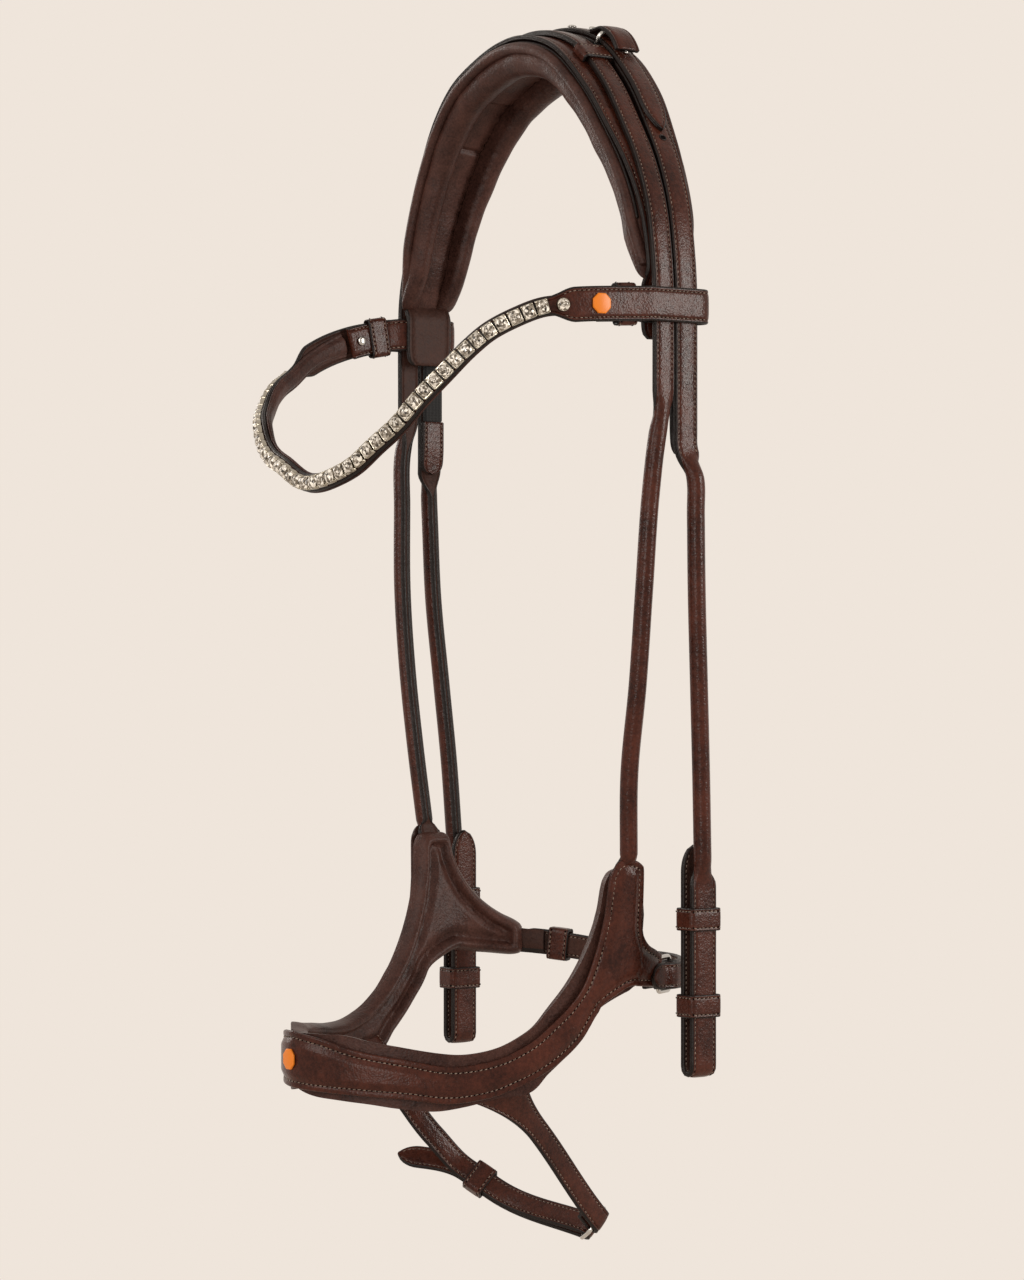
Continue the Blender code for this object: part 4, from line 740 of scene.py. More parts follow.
@dataclass(frozen=True)
class Stitching:
    """Saddle stitching: waxed thread in short slanted stitches that lie in a groove."""

    pitch: float = 0.00245
    length: float = 0.0015
    shade_lens_radius: float = 0.00064
    radius: float = 0.00032
    slant: float = 11.0
    sink: float = 0.25

    def shape(self) -> tuple[Array, list[Array]]:
        """One stitch: a spindle of five rings of six points, its radius largest in the middle."""
        along = self.length * np.array([-0.5, -0.38, 0.0, 0.38, 0.5])
        reach = self.radius * np.array([0.3, 0.85, 1.0, 0.85, 0.3])
        turn = np.radians(np.arange(0, 360, 60))
        rings = np.stack(np.broadcast_arrays(along[:, None], reach[:, None] * np.cos(turn),
                                             reach[:, None] * np.sin(turn)), -1)
        return rings.reshape(-1, 3), [ring_faces(5, 6), np.stack([np.arange(6)[::-1], 24 + np.arange(6)])]

    def hole(self) -> tuple[Array, list[Array]]:
        """Painted shade in one of the awl openings: a flat dark lens, six points round it, one above and one
        below.
        """
        turn = np.radians(np.arange(0, 360, 60))
        ring = self.shade_lens_radius * np.stack([np.cos(turn), 0.85 * np.sin(turn), 0 * turn], 1)
        side = np.arange(6)
        after = (side + 1) % 6
        points = np.concatenate([ring, [[0, 0, 0.00010], [0, 0, -0.00020]]])
        return points, [np.concatenate([np.stack([side, after, 0 * side + 6], 1),
                                        np.stack([after, side, 0 * side + 7], 1)])]

    def lay(self, form: Form, places: Array, along: Array, out: Array, lean: int = 1) -> None:
        """Lays one stitch at each place, leaning to one side of the row, with a flat dark lens of painted
        shade for the awl opening at its end.

        Args:
            form: the piece that is stitched.
            places: middles of the stitches, on the bottom of the groove.
            along: way of the row at each.
            out: way out of the leather at each.
            lean: 1 or -1, the side that the stitches lean to.
        """
        aside = np.cross(out, along)
        angle = np.radians(self.slant) * lean
        first = unit(along * np.cos(angle) + aside * np.sin(angle))
        axes = np.stack([first, np.cross(out, first), out], 1)
        points, faces = self.shape()
        form.copies(points, faces, Coat.THREAD, places + out * self.radius * self.sink, axes)
        # painted shade: a dark lens in the awl opening at each stitch's end
        points, faces = self.hole()
        form.copies(points, faces, Coat.HOLE, places + first * self.pitch / 2 + out * 0.00012, axes)

    def run(self, form: Form, path: Path, section: Section, widths: Array, span: tuple[float, float],
            faces: tuple[int, ...]) -> None:
        """Stitches a strap along its two rows.

        Args:
            form: the piece.
            path: its line.
            section: its section.
            widths: distances along it, and its width and thickness there.
            span: distances where the stitching starts and ends.
            faces: 1 for its face, -1 for its back.
        """
        count = max(int((span[1] - span[0]) / self.pitch), 1)
        distances = span[0] + self.pitch * (np.arange(count) + 0.5)
        places, across, outward = path.at(distances)
        along = path.facing * np.cross(outward, across)
        row = section.rows(np.interp(distances, widths[0], widths[1]))[:, None]
        deep = np.interp(distances, widths[0], widths[2])[:, None] / 2
        for face in faces:
            lift = deep - (section.groove if face > 0 else section.back_groove)
            for side in (1, -1):
                self.lay(form, places + side * row * across + face * lift * outward, along,
                         face * outward, side)


SADDLE = Stitching()


def tip_widths(distances: Array, total: float, width: float, length: float, point: float = 0.62) -> Array:
    """Widths of a strap with a tip: 1 less the square of 1 less the share left, to the power of point."""
    share = np.clip((total - distances) / length, 0.0, 1.0)
    return width * np.maximum((1 - (1 - share) ** 2) ** point, 0.10)


def sweep(form: Form, path: Path, stations: Array, widths: Array | float,
          thicknesses: Array | float, spans: tuple[tuple[float, float], ...] = (), section: Section = STRAP,
          coats: tuple[Coat, ...] = (Coat.LEATHER, Coat.EDGE, Coat.FLESH), rolls: Array | float = 0.0,
          faces: tuple[int, ...] = (1,)) -> None:
    """Carries a strap's section along a path, place plus across times x plus out times z, and stitches it.

    Args:
        form: the piece.
        path: the line.
        stations: distances of the rings.
        widths: width at each.
        thicknesses: thickness at each.
        spans: distances where each run of stitches starts and ends.
        section: the section.
        coats: finishes of face, edges and back.
        rolls: 0 for flat, 1 for rolled, at each.
        faces: sides that are stitched, 1 for the face and -1 for the back.
    """
    table = np.stack(np.broadcast_arrays(stations, widths, thicknesses, rolls)).astype(float)
    if path.closed:
        rows = table[:, :-1]
    else:
        ease = 0.0005
        rows = np.concatenate([table[:, :1], table, table[:, -1:]], 1)
        rows[0, [1, -2]] += [ease, -ease]
        rows[1, [0, -1]] -= 2 * ease
        rows[2, [0, -1]] *= 0.7
    places, across, outward = path.at(rows[0])
    x, z = section.outline(*rows[1:])
    rings = places[:, None] + x[..., None] * across[:, None] + z[..., None] * outward[:, None]
    form.loft(rings[:, ::path.facing], section.column_coats(coats, path.facing), path.closed)
    for span in spans:
        SADDLE.run(form, path, section, table[:3], span, faces)


def tube(form: Form, points: Array, radius: float, coat: Coat, closed: bool = False, sides: int = 14) -> None:
    """Round wire: each ring is its place plus a circle square to the line; open ends are rounded.

    Args:
        form: the piece.
        points: the wire's middle line.
        radius: of the wire.
        coat: its finish.
        closed: whether it is a ring.
        sides: points of a circle.
    """
    points = np.asarray(points, float)
    tangents = line_tangents(points, closed)
    plane = np.linalg.svd(points - points.mean(axis=0))[2][-1]
    across = square_to(tangents, plane)
    outward = np.cross(across, tangents)
    turn = np.linspace(0.0, 2 * np.pi, sides, endpoint=False)
    circle = np.cos(turn)[:, None] * across[:, None] - np.sin(turn)[:, None] * outward[:, None]
    reach = np.full(len(points), radius)
    if not closed:
        lead = radius * np.array([0.55, 0.9])
        reach = np.concatenate([lead, reach, lead[::-1]])
        shift = radius * np.array([0.5, 0.2])[:, None]
        points = np.concatenate([points[:1] - shift * tangents[:1], points,
                                 points[-1:] + shift[::-1] * tangents[-1:]])
        circle = np.concatenate([circle[:1], circle[:1], circle, circle[-1:], circle[-1:]])
    form.loft(points[:, None] + reach[:, None, None] * circle, coat, closed)


def lathe(form: Form, place: Array, axis: Array, profile: tuple[tuple[float, float], ...], coat: Coat,
          sides: int = 24, stretch: float = 1.0, smooth: bool = True) -> None:
    """A profile turned round an axis: radius times cosine and sine, and height along the axis.

    Args:
        form: the piece.
        place: where the axis starts.
        axis: its way.
        profile: radius and height of each ring, upwards.
        coat: the finish.
        sides: points of a ring.
        stretch: scale of the sideways radius.
        smooth: whether it is shaded smooth.
    """
    axis = unit(axis)
    second = square_to(axis, UP)
    radii, heights = np.array(profile, float).T[..., None, None]
    turn = (np.linspace(0.0, 2 * np.pi, sides, endpoint=False) + np.pi / sides)[:, None]
    circle = stretch * np.cos(turn) * np.cross(second, axis) + np.sin(turn) * second
    form.loft(place + heights * axis + radii * circle, coat, smooth=smooth)


def round_box(half_width: float, half_depth: float, corner: float, steps: int = 6) -> Array:
    """Rectangle with rounded corners, anticlockwise from the middle of its right side.

    Args:
        half_width: along x.
        half_depth: along y.
        corner: radius of the corners.
        steps: points of a corner.

    Returns:
        The points as x and y.
    """
    turn = np.radians(np.linspace(0.0, 90.0, steps))
    parts = []
    for quarter, (x, y) in enumerate(((1, 1), (-1, 1), (-1, -1), (1, -1))):
        angle = turn + quarter * np.pi / 2
        parts.append(np.stack([x * (half_width - corner) + corner * np.cos(angle),
                               y * (half_depth - corner) + corner * np.sin(angle)], 1))
    return np.concatenate([[[half_width, 0.0]], *parts])


@dataclass(frozen=True)
class Keeper:
    """Leather loop that holds strap ends down: a narrow strap bent round, stitched near its edges."""

    length: float = 0.0110
    section: Section = Section(inset=0.0015, groove=0.00025, crown=0.0001, edge=0.0006, back_groove=0.0)

    def around(self, tie: tuple[str, str, str], place: Array, along: Array, outward: Array,
               width: float, depth: float, closed: bool = True) -> None:
        """Makes a loop round what it holds, or a bridge whose legs stand on the layer below.

        Args:
            tie: the piece's name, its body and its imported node.
            place: the middle of the opening.
            along: way of the strap that it holds.
            outward: way out of that strap.
            width: of what it holds.
            depth: of what it holds.
            closed: loop or bridge.
        """
        along = unit(along)
        outward = square_to(along, outward)
        wall, room = STOCK.keeper_wall, STOCK.keeper_clearance
        box = round_box(width / 2 + room + wall / 2, depth / 2 + room + wall / 2, wall * 0.95)
        if not closed:
            top, foot = box[box[:, 1] > 0], [box[0, 0], -depth / 2]
            box = np.concatenate([[foot, [foot[0], 0.0]], top, [[-foot[0], 0.0], [-foot[0], foot[1]]]])
        points = place + box[:, :1] * np.cross(along, outward) + box[:, 1:] * outward
        path = Path(points, along, 1, closed)
        trim = 0.0 if closed else 0.002
        form = Form()
        sweep(form, path, path.stations(0.0007), self.length, wall, ((trim, path.total - trim),),
              self.section)
        settle(form, *tie)


@dataclass(frozen=True)
class Stud:
    """Hook stud: a domed head on a short neck."""

    radius: float = 0.0024
    height: float = 0.0020

    def stand(self, tie: tuple[str, str, str], place: Array, axis: Array) -> None:
        """Stands the stud on a place, as a turned profile of neck, rim and dome, and ties it.

        Args:
            tie: the piece's name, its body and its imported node.
            place: where the neck stands.
            axis: way that the head points.
        """
        profile = np.array(((0.30, 0.0), (0.5, 0.02), (0.46, 0.30), (0.9, 0.38), (1.0, 0.48), (0.99, 0.58),
                            (0.86, 0.78), (0.6, 0.93), (0.3, 0.99), (0.05, 1.0)))
        form = Form()
        lathe(form, place, axis, profile * [self.radius, self.height], Coat.STEEL)
        settle(form, *tie)


def ring_line(centre: Array, along: Array, across: Array, half_length: float,
              half_width: float) -> Array:
    """Middle line of a rectangular ring: a rounded rectangle on two given ways."""
    box = round_box(half_width, half_length, STOCK.wire_corner, 7)[1:]
    return centre + box[:, :1] * across + box[:, 1:] * along


@dataclass(frozen=True)
class CutCrystal:
    """Faceted stone: a table of wedges, eight crown facets and a girdle, over a cup with four claws."""

    half_length: float = 0.0030
    half_width: float = 0.0033
    foot: float = 0.0014
    height: float = 0.0026
    power: float = 4.0
    seed: int = 11

    def shape(self) -> tuple[Array, list[Array]]:
        """Points and facets of one stone: rings of 8, 8, 8 and 16 points under a middle point."""
        turn = np.radians(np.arange(8) * 45.0)
        odd = turn + np.radians(22.5)
        girdle = np.radians(np.arange(16) * 22.5)
        bulge = np.abs(np.cos(girdle)) ** self.power + np.abs(np.sin(girdle)) ** self.power
        rings = [(0.0, np.zeros(1), 0.96), (0.30, turn, 1.0), (0.58, turn, 0.97), (0.84, odd, 0.60),
                 (bulge ** (-1 / self.power), girdle, 0.22)]
        points = np.concatenate([np.stack([self.half_length * r * np.cos(a), self.half_width * r * np.sin(a),
                                           self.foot + self.height * z + 0 * a], 1) for r, a, z in rings])
        k = np.arange(8)
        n = (k + 1) % 8
        inner, table, crown, rim = 1, 9, 17, 25 + 2 * k
        last = 25 + (2 * k + 2) % 16
        wedges = ((0 * k, inner + k, inner + n), (table + k, crown + k, table + n),
                  (crown + k, crown + n, table + n), (crown + k, rim, rim + 1), (crown + k, rim + 1, last),
                  (crown + k, last, crown + n))
        quads = np.stack([inner + k, table + k, table + n, inner + n], 1)
        return points, [np.concatenate([np.stack(wedge, 1) for wedge in wedges]), quads]

    def cup(self) -> tuple[Array, list[Array]]:
        """Points and faces of the cup: a square block with cut corners whose rim leans in."""
        box = round_box(self.half_length + 0.0001, self.half_width + 0.0002, 0.0007, 3)[1:]
        levels = ((1.0, 0.0002), (1.0, self.foot + 0.0005), (0.97, self.foot + 0.0008),
                  (0.86, self.foot + 0.0007))
        rings = np.concatenate([np.concatenate([box * s, np.full((len(box), 1), z)], 1) for s, z in levels])
        side = np.arange(len(box))
        return rings, [ring_faces(4, len(box)), (3 * len(box) + side)[None], side[None, ::-1]]

    def claws(self) -> tuple[Array, list[Array]]:
        """Points and faces of four claws: small domes of three rings over the stone's corners."""
        turn = np.radians(np.arange(6) * 60.0)
        spots = 0.86 * np.array(((1, 1), (-1, 1), (-1, -1), (1, -1))) * [self.half_length, self.half_width]
        levels = ((0.00058, self.foot), (0.00055, self.foot + 0.0011), (0.00026, self.foot + 0.00145))
        points = [np.stack([x + reach * np.cos(turn), y + reach * np.sin(turn), 0 * turn + level], 1)
                  for x, y in spots for reach, level in levels]
        first = np.arange(4)[:, None] * 18
        sides = (first[..., None] + ring_faces(3, 6)).reshape(-1, 4)
        return np.concatenate(points), [sides, first + 12 + np.arange(6)]

    def painted_glints(self, count: int) -> Array:
        """Painted reflection of each facet: bright and dark by turns round the table, a little brighter
        towards the girdle, and a seeded spread.
        """
        spread = np.random.default_rng(self.seed).random((count, 56))
        # painted reflections: facets alternately brighter and darker round the table
        painted_star = np.tile([0.15, -0.15], 28)
        weight = np.concatenate([np.full(8, 0.0), np.full(16, 0.05), np.full(24, 0.12), np.full(8, 0.0)])
        return np.clip(0.12 + 0.74 * spread + painted_star + weight, 0.0, 1.0)

    def set(self, form: Form, places: Array, along: Array, across: Array,
            out: Array, cups: bool = True) -> None:
        """Sets one stone, with its cup and claws, on each place.

        Args:
            form: the piece.
            places: middles of the cups' feet.
            along: way of the row at each.
            across: way across it.
            out: way out.
            cups: whether the square cups and claws are made too.
        """
        axes = np.stack([along, across, out], 1)
        points, faces = self.shape()
        form.copies(points, faces, Coat.STONE, places, axes, False, self.painted_glints(len(places)))
        if cups:
            for points, faces in (self.cup(), self.claws()):
                form.copies(points, faces, Coat.CUP, places, axes, False)


def ring_normals(rings: Array) -> Array:
    """Ways out of a skin over rings: the step round the ring crossed with the step to the next ring."""
    around = np.roll(rings, -1, axis=1) - np.roll(rings, 1, axis=1)
    ahead = np.gradient(rings, axis=0)
    return unit(np.cross(around, ahead))


@dataclass(frozen=True)
class PadSection:
    """Section of a padded channel: two full rolls with a lower panel between two seams."""

    roll: float = 0.30
    panel: float = 0.36
    pucker: float = 0.00030
    slack: float = 0.00045

    def columns(self) -> tuple[Array, Array, Array]:
        """Shares across and in, and how much each column puckers.

        Each roll is an ellipse as deep as the pad; the panel bulges by a parabola between the seams."""
        sink = np.radians(np.linspace(0.0, 238.0, 19))
        hub = 0.5 - self.roll / 2
        roll_x, roll_z = -hub - self.roll / 2 * np.sin(sink), 0.5 - 0.5 * np.cos(sink)
        seam = 0.5 - self.roll
        panel_x = np.linspace(-seam + 0.012, seam - 0.012, 13)
        panel_z = self.panel + 0.04 * (1 - (panel_x / seam) ** 2)
        top = np.linspace(hub, -hub, 7)[1:-1]
        x = np.concatenate([top, roll_x, [-seam], panel_x, [seam], -roll_x[::-1]])
        z = np.concatenate([0 * top, roll_z, [self.panel - 0.09], panel_z, [self.panel - 0.09], roll_z[::-1]])
        near_seam = np.exp(-((np.abs(x) - seam) / 0.055) ** 2) * (z > 0.3)
        return x, z, near_seam

    def drape(self, rings: Array, distances: Array, pucker: Array) -> Array:
        """Pushes the skin in and out: short gathers beside the seams, long soft dents elsewhere.

        Both are sums of sines of the distance, whose phase shifts round the ring.

        Args:
            rings: the skin's points.
            distances: of the rings.
            pucker: share of the gathers at each column.

        Returns:
            The moved points.
        """
        column = np.linspace(0.0, 2 * np.pi, rings.shape[1])
        run = distances[:, None]
        short = sum(np.sin(2 * np.pi * run / wave + phase + np.sin(column * turns))
                    for wave, phase, turns in ((0.0068, 0.3, 1), (0.0049, 1.9, 2), (0.0103, 4.0, 1)))
        long = sum(np.sin(2 * np.pi * run / wave + phase + 2 * np.sin(column + phase))
                   for wave, phase in ((0.031, 0.7), (0.047, 2.4), (0.0195, 5.1)))
        push = self.pucker * short / 2 * pucker + self.slack * long / 3 * (1 - pucker) * 0.6
        return rings + push[..., None] * ring_normals(rings)


# The headpiece

@dataclass(frozen=True)
class Arch:
    """Line over the head: half widths and falls of its two sides, as shares of its size."""

    rise: float = 0.0175
    drop: float = 0.1580
    half_width: float = 0.1062
    straight_drop: float = 0.1010
    near: tuple = ((0.0, 0.0), (0.255, 0.034), (0.523, 0.162), (0.690, 0.285), (0.830, 0.402), (0.932, 0.525),
                   (0.987, 0.668), (0.998, 0.746), (1.0, 0.863), (1.0, 1.0))
    far: tuple = ((0.0, 0.0), (0.165, 0.011), (0.348, 0.046), (0.524, 0.098), (0.673, 0.184), (0.803, 0.311),
                  (0.895, 0.456), (0.952, 0.587), (0.995, 0.715), (1.0, 0.800), (1.0, 1.0))

    def line(self, offset: float, end_drop: float, side_y: float, crown_y: float) -> Array:
        """Points from the far side over the head to the near one.

        A cubic through the shares, moved out by the offset; Y eases from the crown's to the sides' as the
        line falls.

        Args:
            offset: how far out from the arch.
            end_drop: where both ends are.
            side_y: Y where the straps hang plumb.
            crown_y: Y at the poll.

        Returns:
            The points.
        """
        halves = []
        for shares, side in ((self.near, 1), (self.far, -1)):
            wide, fall = np.array(shares).T
            halves.append(np.stack([side * wide * self.half_width, 0 * wide,
                                    self.rise - fall * (self.rise + self.drop)], 1))
        fine = smooth_path(np.concatenate([halves[1][:0:-1], halves[0]]), 481)
        tangents = line_tangents(fine)
        fine = fine + offset * np.stack([-tangents[:, 2], 0 * tangents[:, 0], tangents[:, 0]], 1)
        fine[:, 1] = crown_y + (side_y - crown_y) * self.fall(fine)
        middle = len(fine) // 2
        ends = [[np.interp(end_drop, -half[:, 2], half[:, 0]), side_y, -end_drop]
                for half in (fine[middle::-1], fine[middle:])]
        kept = fine[-fine[:, 2] < min(end_drop, self.drop) - STOCK.gap]
        return np.concatenate([ends[:1], kept, ends[1:]])

    def fall(self, points: Array) -> Array:
        """Eased share of the way down from the poll to where the straps hang plumb."""
        return smooth_step((self.rise - points[:, 2]) / (self.rise + self.straight_drop))


ARCH = Arch()


@dataclass(frozen=True)
class Headpiece:
    """Backing leather of the crown, its padded underside, and the rear strap over it."""

    poll_width: float = 0.0500
    flap_width: float = 0.0270
    crown_y: float = 0.0086
    flap_drop: float = 0.1385
    flap_inset: float = 0.0056
    pad_drop: float = 0.1070
    pad_poll_width: float = 0.0530
    pad_end_width: float = 0.0330
    pad_poll_depth: float = 0.0168
    pad_end_depth: float = 0.0140
    pad_close: float = 0.0280
    panel_seam: float = -0.0900        # distances from the poll, far side negative
    panel_lap: float = -0.0570
    pad_clearance: float = 0.0007
    rear_width: float = 0.0134
    rear_y: float = 0.0062
    rear_crown_y: float = 0.0165
    rear_drop: float = 0.1182
    hole_drop: float = 0.0400

    def make(self) -> None:
        """Builds the leather, the pad and the rear strap."""
        self.make_leather()
        self.make_pad()
        self.make_rear_strap()

    def make_leather(self) -> None:
        """Backing leather: wide at the poll, narrower at its flaps, stitched along its edges."""
        line = Path(ARCH.line(STOCK.leather / 2, self.flap_drop, 0.0, self.crown_y), BACK, -1)
        points = line.at(np.linspace(0, line.total, 600))[0]
        inside = smooth_step((-points[:, 2] - self.pad_drop + 0.004) / 0.012) * self.flap_inset
        path = Path(points - np.sign(points[:, :1]) * inside[:, None] * [1, 0, 0], BACK, -1)
        stations = path.stations(0.0022)
        widths = self.poll_width + (self.flap_width - self.poll_width) * ARCH.fall(path.at(stations)[0])
        widths = widths - 0.006 * np.exp(-np.minimum(stations, path.total - stations) / 0.0022)
        form = Form()
        sweep(form, path, stations, widths, STOCK.leather, ((0.040, path.total - 0.040),),
              Section(inset=0.0026, crown=0.0))
        settle(form, "crown_leather", "headpiece", "headpiece")

    def make_pad(self) -> None:
        """Padded underside: two rolls with a stitched channel between them, closed at both ends.

        Piping and a thin second roll follow both outer edges."""
        path = Path(ARCH.line(-self.pad_clearance, self.pad_drop + 0.003, 0.0, self.crown_y), BACK, -1)
        ends = self.pad_close * np.array([0.0, 0.004, 0.015, 0.05, 0.1, 0.18, 0.28, 0.42, 0.6, 0.8])
        inner = np.linspace(self.pad_close, path.total - self.pad_close, 340)
        distances = np.concatenate([ends, inner, path.total - ends[::-1]])
        places, across, outward = path.at(distances)
        from_end = np.minimum(distances, path.total - distances)
        swell = smooth_step(from_end / (path.total / 2))
        close = np.clip(from_end / self.pad_close, 0.0, 1.0)
        widths = self.pad_end_width + (self.pad_poll_width - self.pad_end_width) * swell
        widths = widths * (0.78 + 0.22 * np.sqrt(1 - (1 - np.clip(from_end / 0.006, 0.0, 1.0)) ** 2))
        depths = self.pad_end_depth + (self.pad_poll_depth - self.pad_end_depth) * swell
        depths = depths * (0.06 + 0.94 * np.sin(close * np.pi / 2) ** 0.7)
        section = PadSection()
        x, z, pucker = section.columns()
        run = distances[:, None] - path.total / 2
        folds = 0.10 * np.exp(-((run - self.panel_seam) / 0.0013) ** 2)
        lap = 0.09 * smooth_step((run - self.panel_lap) / 0.0022)
        z = z + (lap - folds) * (np.abs(x) < 0.5 - section.roll) * (z > 0)
        rings = (places[:, None] + (x * widths[:, None])[..., None] * across[:, None]
                 - (z * depths[:, None])[..., None] * outward[:, None])
        form = Form()
        form.loft(section.drape(rings, distances, pucker), Coat.NAPPA)
        ease = smooth_step(from_end / 0.036)
        for side in (-1, 1):
            edge = places + across * (side * (widths / 2 - 0.0022))[:, None] - outward * 0.0009
            tube(form, edge[12:-12], 0.0011, Coat.EDGE, sides=8)
            aside = side * (widths / 2 + 0.0002 - 0.0042 * (1 - ease))
            outer = places + across * aside[:, None] - outward * (0.0034 * depths / max(depths))[:, None]
            tube(form, outer[6:-6], 0.0029, Coat.NAPPA, sides=12)
        piece = settle(form, "crown_padding", "headpiece", "headpiece_pad")

    def make_rear_strap(self) -> None:
        """Rear strap over the headpiece, down to the loops of the browband, with one punched opening: a rim
        round a dark disc of painted shade.
        """
        path = Path(ARCH.line(STOCK.strap_offset, self.rear_drop, self.rear_y, self.rear_crown_y), BACK, -1)
        stations = path.stations(0.0025)
        form = Form()
        sweep(form, path, stations, self.rear_width, STOCK.strap, ((0.002, path.total - 0.002),))
        points = path.at(stations)[0]
        nearest = np.argmin(np.abs(points[:, 2] + self.hole_drop) + (points[:, 0] < 0))
        place, across, outward = path.spot(stations[nearest])
        place = place + outward * (STOCK.strap / 2 + 0.0004)
        turn = np.linspace(0, 2 * np.pi, 16, endpoint=False)[:, None]
        rim = place + 0.0017 * (np.cos(turn) * across + np.sin(turn) * np.cross(outward, across))
        tube(form, rim, 0.00035, Coat.EDGE, closed=True, sides=6)
        # painted shade: a dark disc sunk inside the rim for the punched opening
        lathe(form, place - outward * 0.0004, outward, ((0.0001, 0.0), (0.0016, 0.0002), (0.0016, 0.00045),
                                                        (0.0001, 0.0005)), Coat.HOLE, sides=16)
        settle(form, "rear_crown_strap", "headpiece", "cheek_headstrap")


@dataclass(frozen=True)
class CrownFastening:
    """Pointed strap end on the rear strap, its keeper and small buckle, and two studs."""

    start_run: float = -0.0100
    length: float = 0.1200
    width: float = 0.0134
    drop: float = 0.1185
    y: float = 0.0062
    crown_y: float = 0.0165
    keeper_run: float = 0.0500
    keeper_width: float = 0.0142
    buckle_run: float = 0.0410
    buckle_rise: float = 0.0024
    tongue_length: float = 0.0125
    tongue_wire: float = 0.0018
    stud_runs: tuple[float, ...] = (0.0060, 0.0240)

    @cached_property
    def base(self) -> Path:
        """Line of the strap end, over the rear strap."""
        return Path(ARCH.line(STOCK.strap_end_offset, self.drop, self.y, self.crown_y), BACK, -1)

    @property
    def buckle_at(self) -> float:
        """Distance of the buckle along that line, whose middle is at the poll."""
        return self.base.total / 2 + self.buckle_run

    def make(self) -> None:
        """Builds the strap end, the keeper, the buckle and the studs."""
        middle = self.base.total / 2
        path = Path(self.base.at(middle + self.start_run + np.linspace(0, self.length, 241))[0], BACK, -1)
        stations = path.stations(0.0018)
        form = Form()
        sweep(form, path, stations, tip_widths(stations, path.total, self.width, 0.019, 0.72),
              STOCK.light_strap, ((0.002, path.total - 0.004),))
        settle(form, "crown_strap_point", "headpiece", "crown_strap_end")
        front = Path(Noseband().crown_line(), BACK, -1)
        place, across, outward = front.spot(front.total / 2 + self.keeper_run)
        Keeper(length=0.0112).around(("crown_keeper_loop", "headpiece", "crown_keeper"), place,
                                     np.cross(outward, across), outward, self.keeper_width, STOCK.strap,
                                     closed=False)
        self.make_buckle()
        for name, run in zip(("middle", "near"), self.stud_runs):
            place, _, outward = self.base.spot(middle + run)
            Stud().stand((f"crown_stud_{name}_head", "headpiece", f"crown_stud_{name}"),
                         place + (STOCK.light_strap / 2 + 0.0001) * outward, outward)

    def make_cover(self) -> None:
        """Leather cover that humps over the buckle; its free end stays a little raised."""
        ahead = np.array([-0.0105, -0.0070, -0.0030, 0.0020, 0.0070, 0.0115, 0.0145])
        rise = np.array([0.0016, 0.0034, 0.0057, 0.0063, 0.0059, 0.0047, 0.0036])
        places, _, outward = self.base.at(self.buckle_at + ahead)
        path = Path(smooth_path(places + outward * rise[:, None], 90), BACK, -1)
        form = Form()
        sweep(form, path, path.stations(0.0008), self.width + 0.0012, STOCK.light_strap,
              ((0.002, path.total * 0.6),))
        hinge = self.base.spot(self.buckle_at)[0]
        hold = 0.0030 * unit(places[-1] - places[0])
        settle(form, "crown_buckle_cover", "headpiece", bend=("crown_tongue", hinge - hold, hinge + hold))

    def make_buckle(self) -> None:
        """Arch of wire over the strap end, the cover on it, and the tongue that turns on it."""
        place, across, out = self.base.spot(self.buckle_at)
        half = self.width / 2 + STOCK.keeper_clearance + STOCK.wire / 2
        rise = STOCK.light_strap / 2 + self.buckle_rise + STOCK.wire / 2
        foot = STOCK.strap_end_offset - STOCK.leather - STOCK.gap
        corner = STOCK.wire_corner
        turn = np.radians(np.linspace(0, 90, 9))
        bend = np.stack([half - corner + corner * np.cos(turn), rise - corner + corner * np.sin(turn)], 1)
        box = np.concatenate([[[half, -foot]], bend, bend[::-1] * [-1, 1], [[-half, -foot]]])
        form = Form()
        tube(form, place + box[:, :1] * across + box[:, 1:] * out, STOCK.wire / 2, Coat.STEEL)
        settle(form, "crown_buckle_bow", "headpiece", "crown_buckle_frame")
        self.make_cover()
        bar = place + rise * out
        tip_place = self.base.spot(self.buckle_at + STOCK.wire + self.tongue_length)[0]
        tip_out = self.base.spot(self.buckle_at + self.tongue_length)[2]
        tip = tip_place + (STOCK.light_strap / 2 + STOCK.gap + self.tongue_wire / 2) * tip_out
        start = bar + (STOCK.wire / 2 + STOCK.gap + self.tongue_wire / 2) * unit(tip - bar)
        form = Form()
        tube(form, np.linspace(start, tip, 7), self.tongue_wire / 2, Coat.STEEL)
        settle(form, "crown_buckle_pin", "crown_tongue", "crown_buckle_tongue")


# The browband

